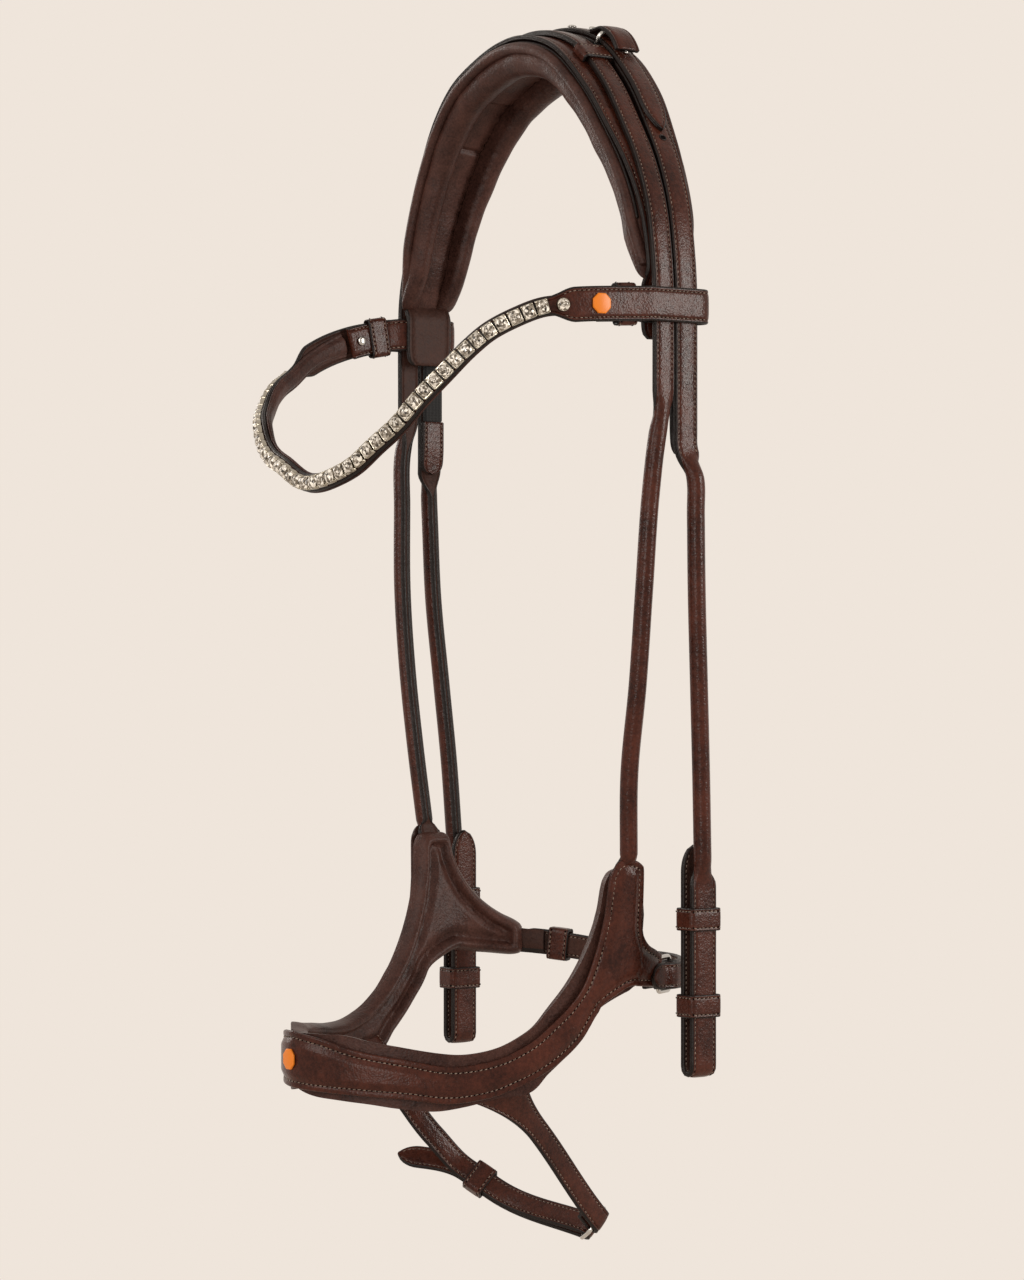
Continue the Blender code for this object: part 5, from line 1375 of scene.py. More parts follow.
@dataclass(frozen=True)
class Browband:
    """Shaped band across the forehead: its loops, lining, keepers, crystals, badge and studs."""

    drop: float = 0.1225
    reach: float = 0.1380
    start_y: float = -0.0170
    plan: float = 0.84
    dip: float = 0.0845
    end_height: float = 0.0167
    band_height: float = 0.0088
    thickness: float = 0.0024
    clearance: float = 0.0008
    pinch: float = 0.0060
    taper: float = 0.0140
    tab_run: float = 0.0290
    keeper_runs: tuple[float, float] = (0.0122, 0.0106)
    end_back: float = 0.0135
    stud_run: float = 0.0225
    lining: float = 0.0014
    lining_height: float = 0.0102
    crystals: tuple[float, float] = (0.0560, 0.0700)
    pitch: float = 0.0068
    single_run: float = 0.0490
    badge_run: float = 0.0290
    near: tuple = ((0.000, 1.000), (0.209, 0.968), (0.324, 0.910), (0.425, 0.812), (0.534, 0.692),
                   (0.613, 0.560), (0.696, 0.422), (0.775, 0.272), (0.817, 0.196), (0.881, 0.106),
                   (0.927, 0.048), (0.964, 0.030), (1.000, 0.000))
    far: tuple = ((0.000, 1.000), (0.209, 0.893), (0.324, 0.840), (0.425, 0.770), (0.534, 0.660),
                  (0.613, 0.600), (0.696, 0.538), (0.775, 0.438), (0.817, 0.385), (0.881, 0.309),
                  (0.927, 0.212), (0.964, 0.131), (0.990, 0.060), (1.000, 0.000))

    @property
    def outer_x(self) -> float:
        """Half width of the band's plan, at the outer layer of its loops."""
        return ARCH.half_width + STOCK.strap_top + self.clearance + self.thickness / 2

    @property
    def inner_x(self) -> float:
        """X of the loops' inner layer."""
        return ARCH.half_width - self.clearance - self.thickness / 2

    @property
    def tab_depth(self) -> float:
        """How far the tab lies behind the band."""
        return self.thickness + STOCK.gap + STOCK.keeper_wall + STOCK.keeper_clearance

    @cached_property
    def line(self) -> Path:
        """Middle line from the near straps across the forehead to the far ones.

        In plan it is an oval of the plan power; its height falls by the shares of the dip."""
        points: list[tuple[float, float, float]] = []
        for shares, side in ((self.near, 1), (self.far, -1)):
            half = []
            for wide, dip in shares:
                reach = (1 - wide ** (2 / self.plan)) ** (self.plan / 2)
                half.append((side * wide * self.outer_x, self.start_y - (self.reach + self.start_y) * reach,
                             -self.drop - dip * self.dip))
            points += half[::-1] if side > 0 else half[1:]
        return Path(smooth_path(np.array(points), 601), UP)

    def end(self, side: Side) -> Array:
        """Points of the tab behind the band and of the loop round the straps, from the tab's end.

        Args:
            side: which end.

        Returns:
            The points, up to where the band starts.
        """
        sign = side.value
        runs = np.linspace(self.tab_run, self.pinch, 8)
        places, _, outward = self.line.at(runs if sign > 0 else self.line.total - runs)
        tab = places - self.tab_depth * outward
        rows = np.linspace(-self.end_back - STOCK.gap, self.end_back, 5)
        inner = np.array([[sign * self.inner_x, y, -self.drop] for y in rows])
        turn = half_turn(inner[-1], BACK, np.array([sign, 0.0, 0.0]), (self.outer_x - self.inner_x) / 2, 12)
        outer = np.array([[sign * self.outer_x, y, -self.drop]
                          for y in (0.006, -0.001, self.start_y + 0.0045)])
        return np.concatenate([tab, inner[:-1], turn, outer])

    def make(self) -> None:
        """Builds every piece of the browband."""
        self.make_band()
        self.make_lining()
        self.make_fittings()
        self.make_crystals()

    def make_band(self) -> None:
        """The band with both its loops and tabs, in one strip of leather."""
        total, near, far = self.line.total, self.end(Side.NEAR), self.end(Side.FAR)
        runs = np.linspace(0.0, total, 90)
        coarse = np.concatenate([near, self.line.at(runs)[0], far[::-1]])
        path = Path(smooth_path(coarse, 1201), UP)
        knots = runs_of(coarse)
        marks = knots * path.total / knots[-1]
        band_runs = np.concatenate([np.full(len(near), -1.0), runs, np.full(len(far), total + 1.0)])
        stations = path.stations(0.0018)
        along = np.interp(stations, marks, band_runs)
        inside = np.minimum(along - self.crystals[0], total - along - self.crystals[1])
        widths = self.end_height + (self.band_height - self.end_height) * smooth_step(inside / self.taper + 1)
        first, last = marks[len(near)] + self.crystals[0], marks[len(near) + 89] - self.crystals[1]
        form = Form()
        sweep(form, path, stations, widths, self.thickness,
              ((0.003, first - 0.006), (last + 0.006, path.total - 0.003)))
        settle(form, "browband_leather", "browband", "browband")

    def make_lining(self) -> None:
        """Soft lining that bulges out of the band's inner face."""
        ends = self.tab_run + 0.0026
        runs = np.linspace(ends, self.line.total - ends, 240)
        places, _, outward = self.line.at(runs)
        path = Path(places - (self.thickness / 2 + STOCK.gap / 2 + self.lining / 2) * outward, UP, -1)
        slim = smooth_step(np.minimum(runs, self.line.total - runs) / self.crystals[0])
        widths = self.end_height + (self.lining_height - self.end_height) * slim - 0.0006
        form = Form()
        sweep(form, path, path.lengths, widths, self.lining, coats=(Coat.NAPPA,) * 3,
              section=Section(inset=0.0012, groove=0.0, crown=0.0016, edge=0.0006, back_groove=0.0))
        piece = settle(form, "browband_soft_lining", "browband", "browband_lining")

    def make_fittings(self) -> None:
        """Keepers and studs of the tabs, and the badge."""
        for side, keeper_run in zip(Side, self.keeper_runs):
            name, start = side.label, 0.0 if side is Side.NEAR else self.line.total
            place, across, outward = self.line.spot(abs(start - keeper_run))
            Keeper().around((f"browband_keeper_loop_{name}", "browband", f"browband_keeper_{name}"),
                            place - outward * self.tab_depth, np.cross(outward, across), outward,
                            self.end_height, self.thickness)
            place, _, outward = self.line.spot(abs(start - self.stud_run))
            Stud().stand((f"browband_hook_stud_{name}", "browband", f"browband_stud_{name}"),
                         place - outward * (self.tab_depth + self.thickness / 2 + 0.0002), -outward)
        place, _, outward = self.line.spot(self.badge_run)
        plate_badge(("browband_plate", "browband", "browband_badge"),
                    place + (self.thickness / 2 + 0.0003) * outward, outward, 0.0052, 1.0)

    def make_crystals(self) -> None:
        """The chain of square-set crystals and the round one beside the badge."""
        count = int((self.line.total - sum(self.crystals)) / self.pitch)
        runs = self.crystals[0] + self.pitch * (np.arange(count) + 0.5)
        places, across, outward = self.line.at(runs)
        form = Form()
        CutCrystal().set(form, places + (self.thickness / 2 + STOCK.gap) * outward,
                         np.cross(outward, across), across, outward)
        ends = runs[0] - self.pitch / 2, runs[-1] + self.pitch / 2
        places, _, outward = self.line.at(np.linspace(*ends, 300))
        base = Path(places + (self.thickness / 2 + STOCK.gap + 0.0005) * outward, UP)
        sweep(form, base, base.lengths, 0.0052, 0.0010, section=PLAIN, coats=(Coat.EDGE,) * 3)
        settle(form, "crystal_row", "browband", "crystal_strip")
        place, across, outward = self.line.spot(self.single_run)
        form = Form()
        seat = place + (self.thickness / 2 + 0.0002) * outward
        CutCrystal(0.0029, 0.0029, 0.0011, 0.0024, 2.0, 5).set(
            form, seat[None], np.cross(outward, across)[None], across[None], outward[None], cups=False)
        lathe(form, seat, outward, ((0.0031, 0.0), (0.0033, 0.0002), (0.0033, 0.0012), (0.0031, 0.0017),
                                    (0.0028, 0.0017), (0.0027, 0.0012)), Coat.CUP)
        settle(form, "round_crystal", "browband", "single_crystal")


def plate_badge(tie: tuple[str, str, str], place: Array, out: Array, radius: float,
                stretch: float) -> None:
    """Plain eight-cornered plate with a bevelled rim: a turned profile with eight sides.

    Args:
        tie: the piece's name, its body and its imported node.
        place: the middle of its back.
        out: the way it faces.
        radius: to its corners.
        stretch: its width over its height.
    """
    profile = ((0.97, 0.0), (1.0, 0.0001), (1.0, 0.0007), (0.96, 0.0010), (0.88, 0.0011), (0.02, 0.0012))
    form = Form()
    lathe(form, place, out, tuple((share * radius, level) for share, level in profile), Coat.ENAMEL, 8,
          stretch, smooth=False)
    settle(form, *tie)


# Cheek straps and cheekpieces

@dataclass(frozen=True)
class Cheekpiece:
    """One cheek: stitched strap, elastic behind it, rolled cheekpiece, and the billet folded at its foot."""

    side: Side
    top_drop: float = 0.1185
    flex_drop: float = 0.1820
    strap_width: float = 0.0134
    strap_y: float = 0.0062
    elastic_width: float = 0.0112
    elastic_top: float = 0.1380
    elastic_drop: float = 0.1670
    backing_end: float = 0.1950
    roll_drop: float = 0.2060
    taper: float = 0.0140
    roll_x: float = 0.1150
    roll_y: float = 0.0090
    billet_x: float = 0.1062
    billet_y: float = 0.0203
    draw: tuple = ((0.08, 0.04), (0.27, 0.15), (0.51, 0.46), (0.74, 0.76), (0.89, 0.90))
    billet_top: float = 0.4010
    billet_drop: float = 0.4940
    billet_width: float = 0.0150
    billet_thickness: float = 0.0026
    billet_space: float = 0.0046
    tip_drop: float = 0.3820
    upper_keeper_drop: float = 0.4178
    runner_drop: float = 0.4596
    stud_drop: float = 0.4400
    bend: tuple[float, float] = (0.1790, 0.2000)
    elastic_bend: tuple[float, float] = (0.1383, 0.1670)

    @property
    def out(self) -> Array:
        """Way out of this side of the head."""
        return np.array([self.side.value, 0.0, 0.0])

    @property
    def leg_turn(self) -> float:
        """Radius of the fold's middle line."""
        return (self.billet_thickness + self.billet_space) / 2

    def line(self) -> Path:
        """From the top of the strap down the cheek, round the billet's fold and up to its tip."""
        strap_x = ARCH.half_width + STOCK.strap_offset
        top = np.array([strap_x, self.strap_y, -self.flex_drop - STOCK.gap])
        roll = np.array([self.roll_x, self.roll_y, -self.roll_drop])
        foot = np.array([self.billet_x, self.billet_y, -self.billet_top])
        points = [top, top * [1, 1, 0] - UP * (self.flex_drop + self.strap_width / 2), roll]
        points += [roll + (foot - roll) * [aside, aside, down] for down, aside in self.draw]
        leg = foot - UP * (self.billet_drop - self.billet_thickness / 2 - self.leg_turn - self.billet_top)
        upper = smooth_path(np.array([*points, foot, (foot + leg) / 2]), 401)
        fold = half_turn(leg, -UP, np.array([-1.0, 0.0, 0.0]), self.leg_turn, 20)
        tip = fold[-1] + UP * (self.billet_drop - self.billet_thickness / 2 - self.leg_turn - self.tip_drop)
        start = np.array([strap_x, self.strap_y, -self.top_drop])
        strap = start + (top - start) * np.linspace(0, 1, 30)[:-1, None]
        leg_up = fold[-1] + (tip - fold[-1]) * np.linspace(0, 1, 40)[1:, None]
        points = np.concatenate([strap, upper, fold, leg_up]) * [self.side.value, 1, 1]
        return Path(points, BACK, -self.side.value)

    def make(self) -> None:
        """Builds the strap and cheekpiece in one, the elastic, the keepers and the stud."""
        form = Form()
        self.make_leather(form)
        self.make_backing(form)
        name, start, end = self.side.label, *self.bend
        strap, cheek = f"cheek_strap_{name}", f"cheekpiece_{name}"
        top = self.out * (ARCH.half_width + STOCK.strap_offset) + BACK * self.strap_y
        settle(form, f"cheek_leather_{name}", strap, strap, f"cheek_strap_backing_{name}", cheek,
               bend=(cheek, top - UP * start, top - UP * end))
        self.make_elastic()
        self.make_billet_fittings()

    def make_leather(self, form: Form) -> None:
        """Flat strap, roll, flat billet: the section's roll share eases in and out along the path.

        Args:
            form: the piece.
        """
        path = self.line()
        roll, end = path.at_drop(self.roll_drop), path.at_drop(self.billet_top)
        stations = path.stations(0.0021)
        into = smooth_step((stations - roll + self.taper) / self.taper)
        out = smooth_step((stations - end + self.taper) / self.taper)
        widths = np.where(out > 0, self.billet_width, self.strap_width)
        tips = tip_widths(stations, path.total, self.billet_width, 0.013, 0.55)
        widths = np.where(stations > path.total - 0.014, np.minimum(widths, tips), widths)
        thick = np.where(out > 0, self.billet_thickness, STOCK.strap)
        sweep(form, path, stations, widths, thick, ((0.002, roll - self.taper + 0.002),),
              rolls=into * (1 - out))
        SADDLE.run(form, path, STRAP, np.stack([stations, widths, thick]),
                   (end + 0.001, path.total - 0.003), (1, -1))

    def inner_line(self, drops: Array, lean: Array | float = 0.0) -> Path:
        """Line in the layer behind the strap, at these drops and leaning out by this much."""
        x = self.side.value * (ARCH.half_width + STOCK.leather / 2 + lean)
        points = np.stack(np.broadcast_arrays(x, self.strap_y, -drops), 1)
        return Path(points, BACK, -self.side.value)

    def make_backing(self, form: Form) -> None:
        """Second layer behind the strap that holds the elastic's lower end.

        Args:
            form: the piece.
        """
        drops = np.linspace(self.elastic_drop + STOCK.gap, self.backing_end, 16)
        path = self.inner_line(drops, smooth_step((drops - 0.180) / 0.020) * 0.0016)
        stations = path.stations(0.0018)
        widths = tip_widths(stations, path.total, self.strap_width, 0.007, 0.35)
        sweep(form, path, stations, widths, STOCK.leather, ((0.001, path.total - 0.005),),
              coats=(Coat.LEATHER, Coat.EDGE, Coat.LEATHER), faces=(-1,))

    def make_elastic(self) -> None:
        """Flat webbing that stretches between the headpiece's flap and the strap's backing."""
        path = self.inner_line(np.linspace(self.elastic_top, self.elastic_drop + 0.0002, 20))
        form = Form()
        sweep(form, path, path.stations(0.0012), self.elastic_width, STOCK.elastic, coats=(Coat.ELASTIC,) * 3,
              section=Section(inset=0.0006, groove=0.0002, crown=0.0, edge=0.0005, lip=0.0002,
                              back_groove=0.0002))
        name, start, end = self.side.label, *self.elastic_bend
        top = path.points[0] * [1, 1, 0]
        settle(form, f"elastic_band_{name}", "headpiece", f"cheek_elastic_{name}",
               bend=(f"cheek_strap_{name}", top - UP * start, top - UP * end))

    def make_billet_fittings(self) -> None:
        """Fixed keeper, sliding runner, and the stud on the inner leg."""
        name = self.side.label
        seat = self.out * (self.billet_x - self.leg_turn) + BACK * self.billet_y
        for part, drop, body in (("upper_keeper", self.upper_keeper_drop, f"cheekpiece_{name}"),
                                 ("runner", self.runner_drop, f"billet_runner_{name}")):
            Keeper().around((f"billet_{part}_loop_{name}", body, f"billet_{part}_{name}"), seat - UP * drop,
                            UP, self.out, self.billet_width, 2 * self.billet_thickness + self.billet_space)
        depth = self.leg_turn + self.billet_thickness / 2 - 0.0001
        Stud().stand((f"billet_hook_stud_{name}", f"cheekpiece_{name}", f"billet_stud_{name}"),
                     seat - self.out * depth - UP * self.stud_drop, -self.out)


# The noseband

@dataclass(frozen=True)
class NoseShape:
    """Plan and edges of the noseband: a pointed oval in front and a round arc behind each side."""

    half_width: float = 0.0800
    reach: float = 0.1400
    plan: float = 1.176
    y: float = -0.0060
    rear_radius: float = 0.0660
    flare: float = 0.0085
    flare_drop: float = 0.4580
    drop: float = 0.5043
    rise: float = 0.1146
    far_rise: float = 0.0100
    leather: tuple = ((0.0, 0.295, 0.055), (14.0, 0.269, 0.045), (27.0, 0.218, 0.033), (38.0, 0.186, 0.020),
                      (48.7, 0.155, 0.000), (56.0, 0.173, 0.020), (63.3, 0.229, 0.072), (70.0, 0.330, 0.142),
                      (74.0, 0.404, 0.203), (76.5, 0.474, 0.251), (78.3, 0.570, 0.299), (79.8, 0.683, 0.343),
                      (81.0, 0.814, 0.369), (81.8, 0.962, 0.391), (83.5, 1.000, 0.413), (90.0, 1.000, 0.465),
                      (93.0, 0.980, 0.469), (94.2, 0.814, 0.467), (96.6, 0.675, 0.465), (100.0, 0.640, 0.462),
                      (104.4, 0.620, 0.458), (112.0, 0.587, 0.452), (127.0, 0.557, 0.448),
                      (138.0, 0.557, 0.448))
    pad: tuple = ((0.0, 0.284, 0.051), (13.0, 0.284, 0.020), (21.0, 0.283, 0.010), (30.0, 0.255, -0.006),
                  (38.6, 0.230, -0.024), (46.0, 0.209, -0.032), (52.0, 0.203, -0.012), (58.4, 0.229, 0.018),
                  (64.6, 0.292, 0.033), (69.2, 0.381, 0.112), (73.6, 0.493, 0.186), (76.9, 0.609, 0.256),
                  (79.0, 0.714, 0.304), (80.3, 0.810, 0.343), (81.2, 0.928, 0.369), (82.5, 0.962, 0.387),
                  (89.0, 0.975, 0.435), (93.0, 0.971, 0.448), (96.0, 0.875, 0.448), (100.0, 0.788, 0.445),
                  (108.0, 0.692, 0.439), (118.0, 0.622, 0.435), (128.0, 0.587, 0.435))

    def wall(self, angles: Array, drops: Array, offset: Array | float = 0.0
             ) -> tuple[Array, Array]:
        """Places on the noseband's middle surface and the ways out of it.

        In front the half width goes with the sine of the angle to the plan power and the reach with its
        cosine; behind, a circle goes on from there. Above the flare drop the sides lean out.

        Args:
            angles: degrees from the front, positive on the near side and negative on the far one.
            drops: depths below the poll.
            offset: how far out of the surface.

        Returns:
            Places and ways out.
        """
        angles, drops, offset = np.broadcast_arrays(np.asarray(angles, float), drops, offset)
        side = np.where(angles < 0, -1.0, 1.0)
        angles = np.abs(angles)
        front, rear = np.radians(np.minimum(angles, 90.0)), np.radians(np.maximum(angles - 90.0, 0.0))
        behind = angles > 90.0
        wide, long = np.sin(front) ** self.plan, np.clip(np.cos(front), 0.0, 1.0) ** self.plan
        hub = self.half_width - self.rear_radius
        x = np.where(behind, hub + self.rear_radius * np.cos(rear), self.half_width * wide)
        y = np.where(behind, self.rear_radius * np.sin(rear), -self.reach * long) + self.y
        lean = np.clip((self.flare_drop - drops) / (self.flare_drop - self.drop + self.rise), 0.0, 1.2)
        x = x + self.flare * lean * np.sin(front) * np.cos(np.minimum(3 * rear, np.pi / 2))
        power = 2 / self.plan - 1
        out = unit(np.stack([side * np.where(behind, np.cos(rear), wide ** power / self.half_width),
                             np.where(behind, np.sin(rear), -long ** power / self.reach), 0 * x], -1))
        lift = self.far_rise * np.maximum(-side * x, 0.0) / self.half_width
        return np.stack([side * x, y, lift - drops], -1) + offset[..., None] * out, out

    def edges(self, table: tuple, angles: Array) -> tuple[Array, Array]:
        """Drops of the upper and lower edges at these angles, from the table's shares of the rise."""
        upper, lower = smooth_table(table, np.abs(angles))
        return self.drop - self.rise * upper, self.drop - self.rise * lower

    def flat(self, table: tuple, first: float, last: float, step: float
             ) -> tuple[Array, Array, Array, Array]:
        """The wall laid flat, at stations along it.

        Args:
            table: shares of the edges.
            first: signed angle of the far end.
            last: signed angle of the near end.
            step: metres between stations.

        Returns:
            Angles, runs along the wall, upper drops and lower drops.
        """
        dense = np.linspace(first, last, 2001)
        run = runs_of(self.wall(dense, self.drop)[0])
        angles = np.interp(stations_of(run[-1], step), run, dense)
        return angles, runs_of(self.wall(angles, self.drop)[0]), *self.edges(table, angles)

    def level(self) -> float:
        """Depth of the middle of the noseband's rear ends."""
        return self.drop - self.rise * (self.leather[-1][1] + self.leather[-1][2]) / 2


NOSE = NoseShape()


def edge_distance(rows: Array, outline: Array) -> Array:
    """Distances from a closed outline in a plane: the least distance to any of its segments.

    Args:
        rows: grid of places in the plane, taken one row at a time.
        outline: its corners in order.

    Returns:
        The distances.
    """
    step = np.roll(outline, -1, axis=0) - outline
    square = np.maximum(np.sum(step * step, axis=1), 1e-14)
    least = []
    for row in rows:
        reach = row[:, None] - outline
        share = np.clip(np.sum(reach * step, axis=-1) / square, 0.0, 1.0)
        least.append(np.sqrt(np.min(np.sum((reach - share[..., None] * step) ** 2, axis=-1), axis=1)))
    return np.array(least)


def band_field(shares: Array, run: Array, upper: Array, lower: Array
               ) -> tuple[Array, Array, Array]:
    """Lays columns across a band between its two edges.

    Args:
        shares: place of each column, 0.5 at the top and -0.5 at the foot.
        run: distances along the band.
        upper: drops of its upper edge there.
        lower: drops of its lower edge there.

    Returns:
        Drops of the columns, their distances from the band's outline, and the outline as runs and drops.
    """
    outline = np.concatenate([np.stack([run, upper], 1), np.stack([run, lower], 1)[::-1]])
    drops = ((upper + lower) / 2)[:, None] - shares * (lower - upper)[:, None]
    away = edge_distance(np.stack([np.broadcast_to(run[:, None], drops.shape), drops], -1), outline)
    return drops, away, outline


def inset_line(outline: Array, inset: float, pitch: float) -> Array:
    """Places at one distance inside a closed outline, a pitch apart.

    Each place of the outline moves along the normal of its edge; those nearer to another edge go.

    Args:
        outline: corners in order, far to near along the top and back along the foot.
        inset: distance from the outline.
        pitch: distance between the places.

    Returns:
        The places.
    """
    closed = np.concatenate([outline, outline[:1]])
    run = runs_of(closed)
    even = np.arange(0.0, run[-1], 0.0004)
    dense = np.stack([np.interp(even, run, closed[:, k]) for k in range(2)], 1)
    tangents = line_tangents(dense, closed=True)
    moved = dense + inset * np.stack([-tangents[:, 1], tangents[:, 0]], 1)
    kept = moved[edge_distance(moved[None], outline)[0] > inset * 0.985]
    run = runs_of(kept)
    at = np.arange(0.0, run[-1], pitch)
    return np.stack([np.interp(at, run, kept[:, k]) for k in range(2)], 1)


@dataclass(frozen=True)
class Noseband:
    """Raised noseband with its padding, badge, hangers and the strap behind the jaw."""

    hanger_width: float = 0.0120
    hanger_y: float = -0.0070
    hanger_crown_y: float = 0.0005
    flex_drop: float = 0.1620
    roll_drop: float = 0.1850
    belly: float = 0.0036
    draw: tuple = ((0.14, 0.12, 0.55), (0.36, 0.25, 1.0), (0.585, 0.475, 1.0), (0.80, 0.80, 0.85))
    foot_angle: float = 86.5
    foot_reach: float = 0.0090
    near_end: float = 110.0
    far_end: float = 138.0
    pad_near_end: float = 98.0
    pad_far_end: float = 128.0
    pad_depth: float = 0.0085
    pad_clearance: float = 0.0009
    pad_roll: float = 0.0074
    inset: float = 0.0031
    groove: float = 0.0005
    raised: float = 0.0011
    jaw_width: float = 0.0130
    jaw_start: float = 126.0
    jaw_tip: float = 101.0
    jaw_meet: float = 150.0
    keeper_angle: float = 145.0
    ring_length: float = 0.0150
    fold_tail: float = 0.0090
    fold_run: float = 0.0026
    roll_start: float = 0.1630
    stitch_drop: float = 0.1600
    bend: tuple[float, float] = (0.1600, 0.1790)

    def make(self) -> None:
        """Builds the leather, the padding, the badge, the hangers and the jaw strap."""
        self.make_leather()
        self.make_pad()
        self.make_badge()
        self.make_front_strap()
        self.make_jaw_strap()

    def make_leather(self) -> None:
        """Raised leather on the wall, stitched all round.

        Its height over the wall follows the distance from its outline: a rounded edge, a groove for the
        stitches, and a raised field inside them."""
        angles, run, upper, lower = NOSE.flat(NOSE.leather, -self.far_end, self.near_end, 0.0011)
        face = -0.5 * np.cos(np.linspace(0.0, np.pi, 41))[::-1]
        back = np.linspace(-0.5, 0.5, 6)[1:-1]
        drops, away, outline = band_field(np.concatenate([face, back]), run, upper, lower)
        half = STOCK.leather / 2
        height = half * np.sqrt(1 - (1 - np.clip(away / 0.0008, 0.0, 1.0)) ** 2)
        height = height - self.groove * np.exp(-((away - self.inset) / 0.00055) ** 2)
        height = height + self.raised * smooth_step((away - self.inset - 0.0004) / 0.0034)
        height[:, len(face):] = -half
        rings, _ = NOSE.wall(angles[:, None], drops, height)
        coats = [Coat.LEATHER] * len(face) + [Coat.FLESH] * len(back)
        coats[0] = coats[len(face) - 2] = coats[len(face) - 1] = Coat.EDGE
        form = Form()
        form.loft(rings, coats)
        line = inset_line(outline, self.inset, SADDLE.pitch)
        spots, out = NOSE.wall(np.interp(line[:, 0], run, angles), line[:, 1], half - self.groove)
        SADDLE.lay(form, spots, line_tangents(spots), out, 1)
        fold, _, _ = self.fold(self.fold_run, STOCK.leather, 1)
        start = NOSE.wall(self.near_end - np.array([4.0, 2.0]), NOSE.level())[0]
        path = Path(np.concatenate([start, fold]), UP, -1)
        sweep(form, path, path.stations(0.0006), self.jaw_width, STOCK.leather * 0.96, section=PLAIN)
        settle(form, "noseband_leather", "noseband", "noseband")

    def make_pad(self) -> None:
        """Padding inside the noseband: a full roll follows the whole outline round a lower panel.

        Its depth follows the distance from the outline: half an ellipse up to the seam, and past it the
        panel, which rises a little towards its middle."""
        angles, run, upper, lower = NOSE.flat(NOSE.pad, -self.pad_far_end, self.pad_near_end, 0.0010)
        end = 1 - np.clip(np.minimum(run, run[-1] - run) / 0.0080, 0.0, 1.0)
        pinch = (lower - upper) / 2 * 0.30 * (1 - np.sqrt(1 - end ** 2))
        flat = np.linspace(0.44, -0.44, 6)
        deep = -0.5 * np.cos(np.linspace(0.0, np.pi, 49))
        drops, away, _ = band_field(np.concatenate([flat, deep]), run, upper + pinch, lower - pinch)
        roll = np.sqrt(np.clip(1 - (2 * away / self.pad_roll - 1) ** 2, 0.0, 1.0))
        panel = 0.58 + 0.26 * smooth_step((away - self.pad_roll) / 0.0055)
        depth = np.where(away < self.pad_roll / 2, roll, np.maximum(roll, panel)) * self.pad_depth
        depth[:, :len(flat)] = 0.0
        rings, _ = NOSE.wall(angles[:, None], drops, -STOCK.leather / 2 - self.pad_clearance - depth)
        seam = np.exp(-((away - self.pad_roll) / 0.0016) ** 2) * (depth > 0)
        form = Form()
        form.loft(PadSection(pucker=0.00020, slack=0.00030).drape(rings, run, seam), Coat.NAPPA)
        piece = settle(form, "noseband_padding", "noseband", "noseband_pad")

    def make_badge(self) -> None:
        """Plain plate in the middle of the noseband's front."""
        upper, lower = NOSE.edges(NOSE.leather, np.zeros(1))
        place, out = NOSE.wall(0.0, (upper[0] + lower[0]) / 2, STOCK.leather / 2 + 0.0011)
        plate_badge(("noseband_plate", "noseband", "noseband_badge"), place, out, 0.00535, 0.95)

    def hanger_line(self, side: Side) -> Array:
        """Line of a hanger, from the flex down to the top of the noseband's side arm, bowed forwards.

        Args:
            side: near or far.

        Returns:
            Its points.
        """
        top = np.array([ARCH.half_width + STOCK.strap_offset, self.hanger_y, -self.flex_drop - STOCK.gap])
        roll = np.array([top[0], self.hanger_y - self.belly, -self.roll_drop])
        upper, _ = NOSE.edges(NOSE.leather, np.array([self.foot_angle]))
        foot = NOSE.wall(side.value * self.foot_angle, upper[0] - STOCK.gap)[0]
        foot = np.array([abs(foot[0]), foot[1], -upper[0] + STOCK.gap])
        points = [top, top - UP * self.hanger_width / 2, roll]
        points += [roll + (foot - roll) * [aside, aside, down] - BACK * self.belly * belly
                   for down, aside, belly in self.draw]
        line = smooth_path(np.array([*points, foot]), 401)
        lift = NOSE.far_rise if side is Side.FAR else 0.0
        share = smooth_step((-line[:, 2] - self.roll_drop) / (-foot[2] - self.roll_drop))
        line = (line + UP * (lift * share)[:, None]) * [side.value, 1, 1]
        depths = upper + np.linspace(0.001, self.foot_reach, 8)
        inward = -(STOCK.leather + STOCK.light_strap) / 2 * smooth_step((depths - upper) / 0.004)
        hidden = NOSE.wall(side.value * self.foot_angle, depths, inward)[0]
        return np.concatenate([line[:-1], hidden])

    def crown_line(self) -> Array:
        """Points of the front strap over the head, from flex to flex."""
        return ARCH.line(STOCK.strap_offset, self.flex_drop, self.hanger_y, self.hanger_crown_y)

    def make_front_strap(self) -> None:
        """Front strap over the head, rolled below the browband, down to the noseband on both sides."""
        near, far = self.hanger_line(Side.NEAR), self.hanger_line(Side.FAR)
        path = Path(np.concatenate([far[::-1], self.crown_line(), near]), BACK, -1)
        stations = path.stations(0.0021)
        drops = -path.at(stations)[0][:, 2]
        foot = np.minimum(stations, path.total - stations)
        rolls = smooth_step((drops - self.roll_start) / (self.roll_drop - self.roll_start))
        rolls = rolls * smooth_step((foot - 0.0060) / 0.0070)
        flat = stations[drops < self.stitch_drop]
        form = Form()
        sweep(form, path, stations, self.hanger_width, np.where(foot < 0.013, STOCK.light_strap, STOCK.strap),
              ((flat[0], flat[-1]),), rolls=rolls)
        start, end = (BACK * self.hanger_y - UP * drop for drop in self.bend)
        settle(form, "front_strap", "headpiece", "noseband_headstrap", "noseband_hanger_near",
               "noseband_hanger_far", bend=("noseband", start, end))

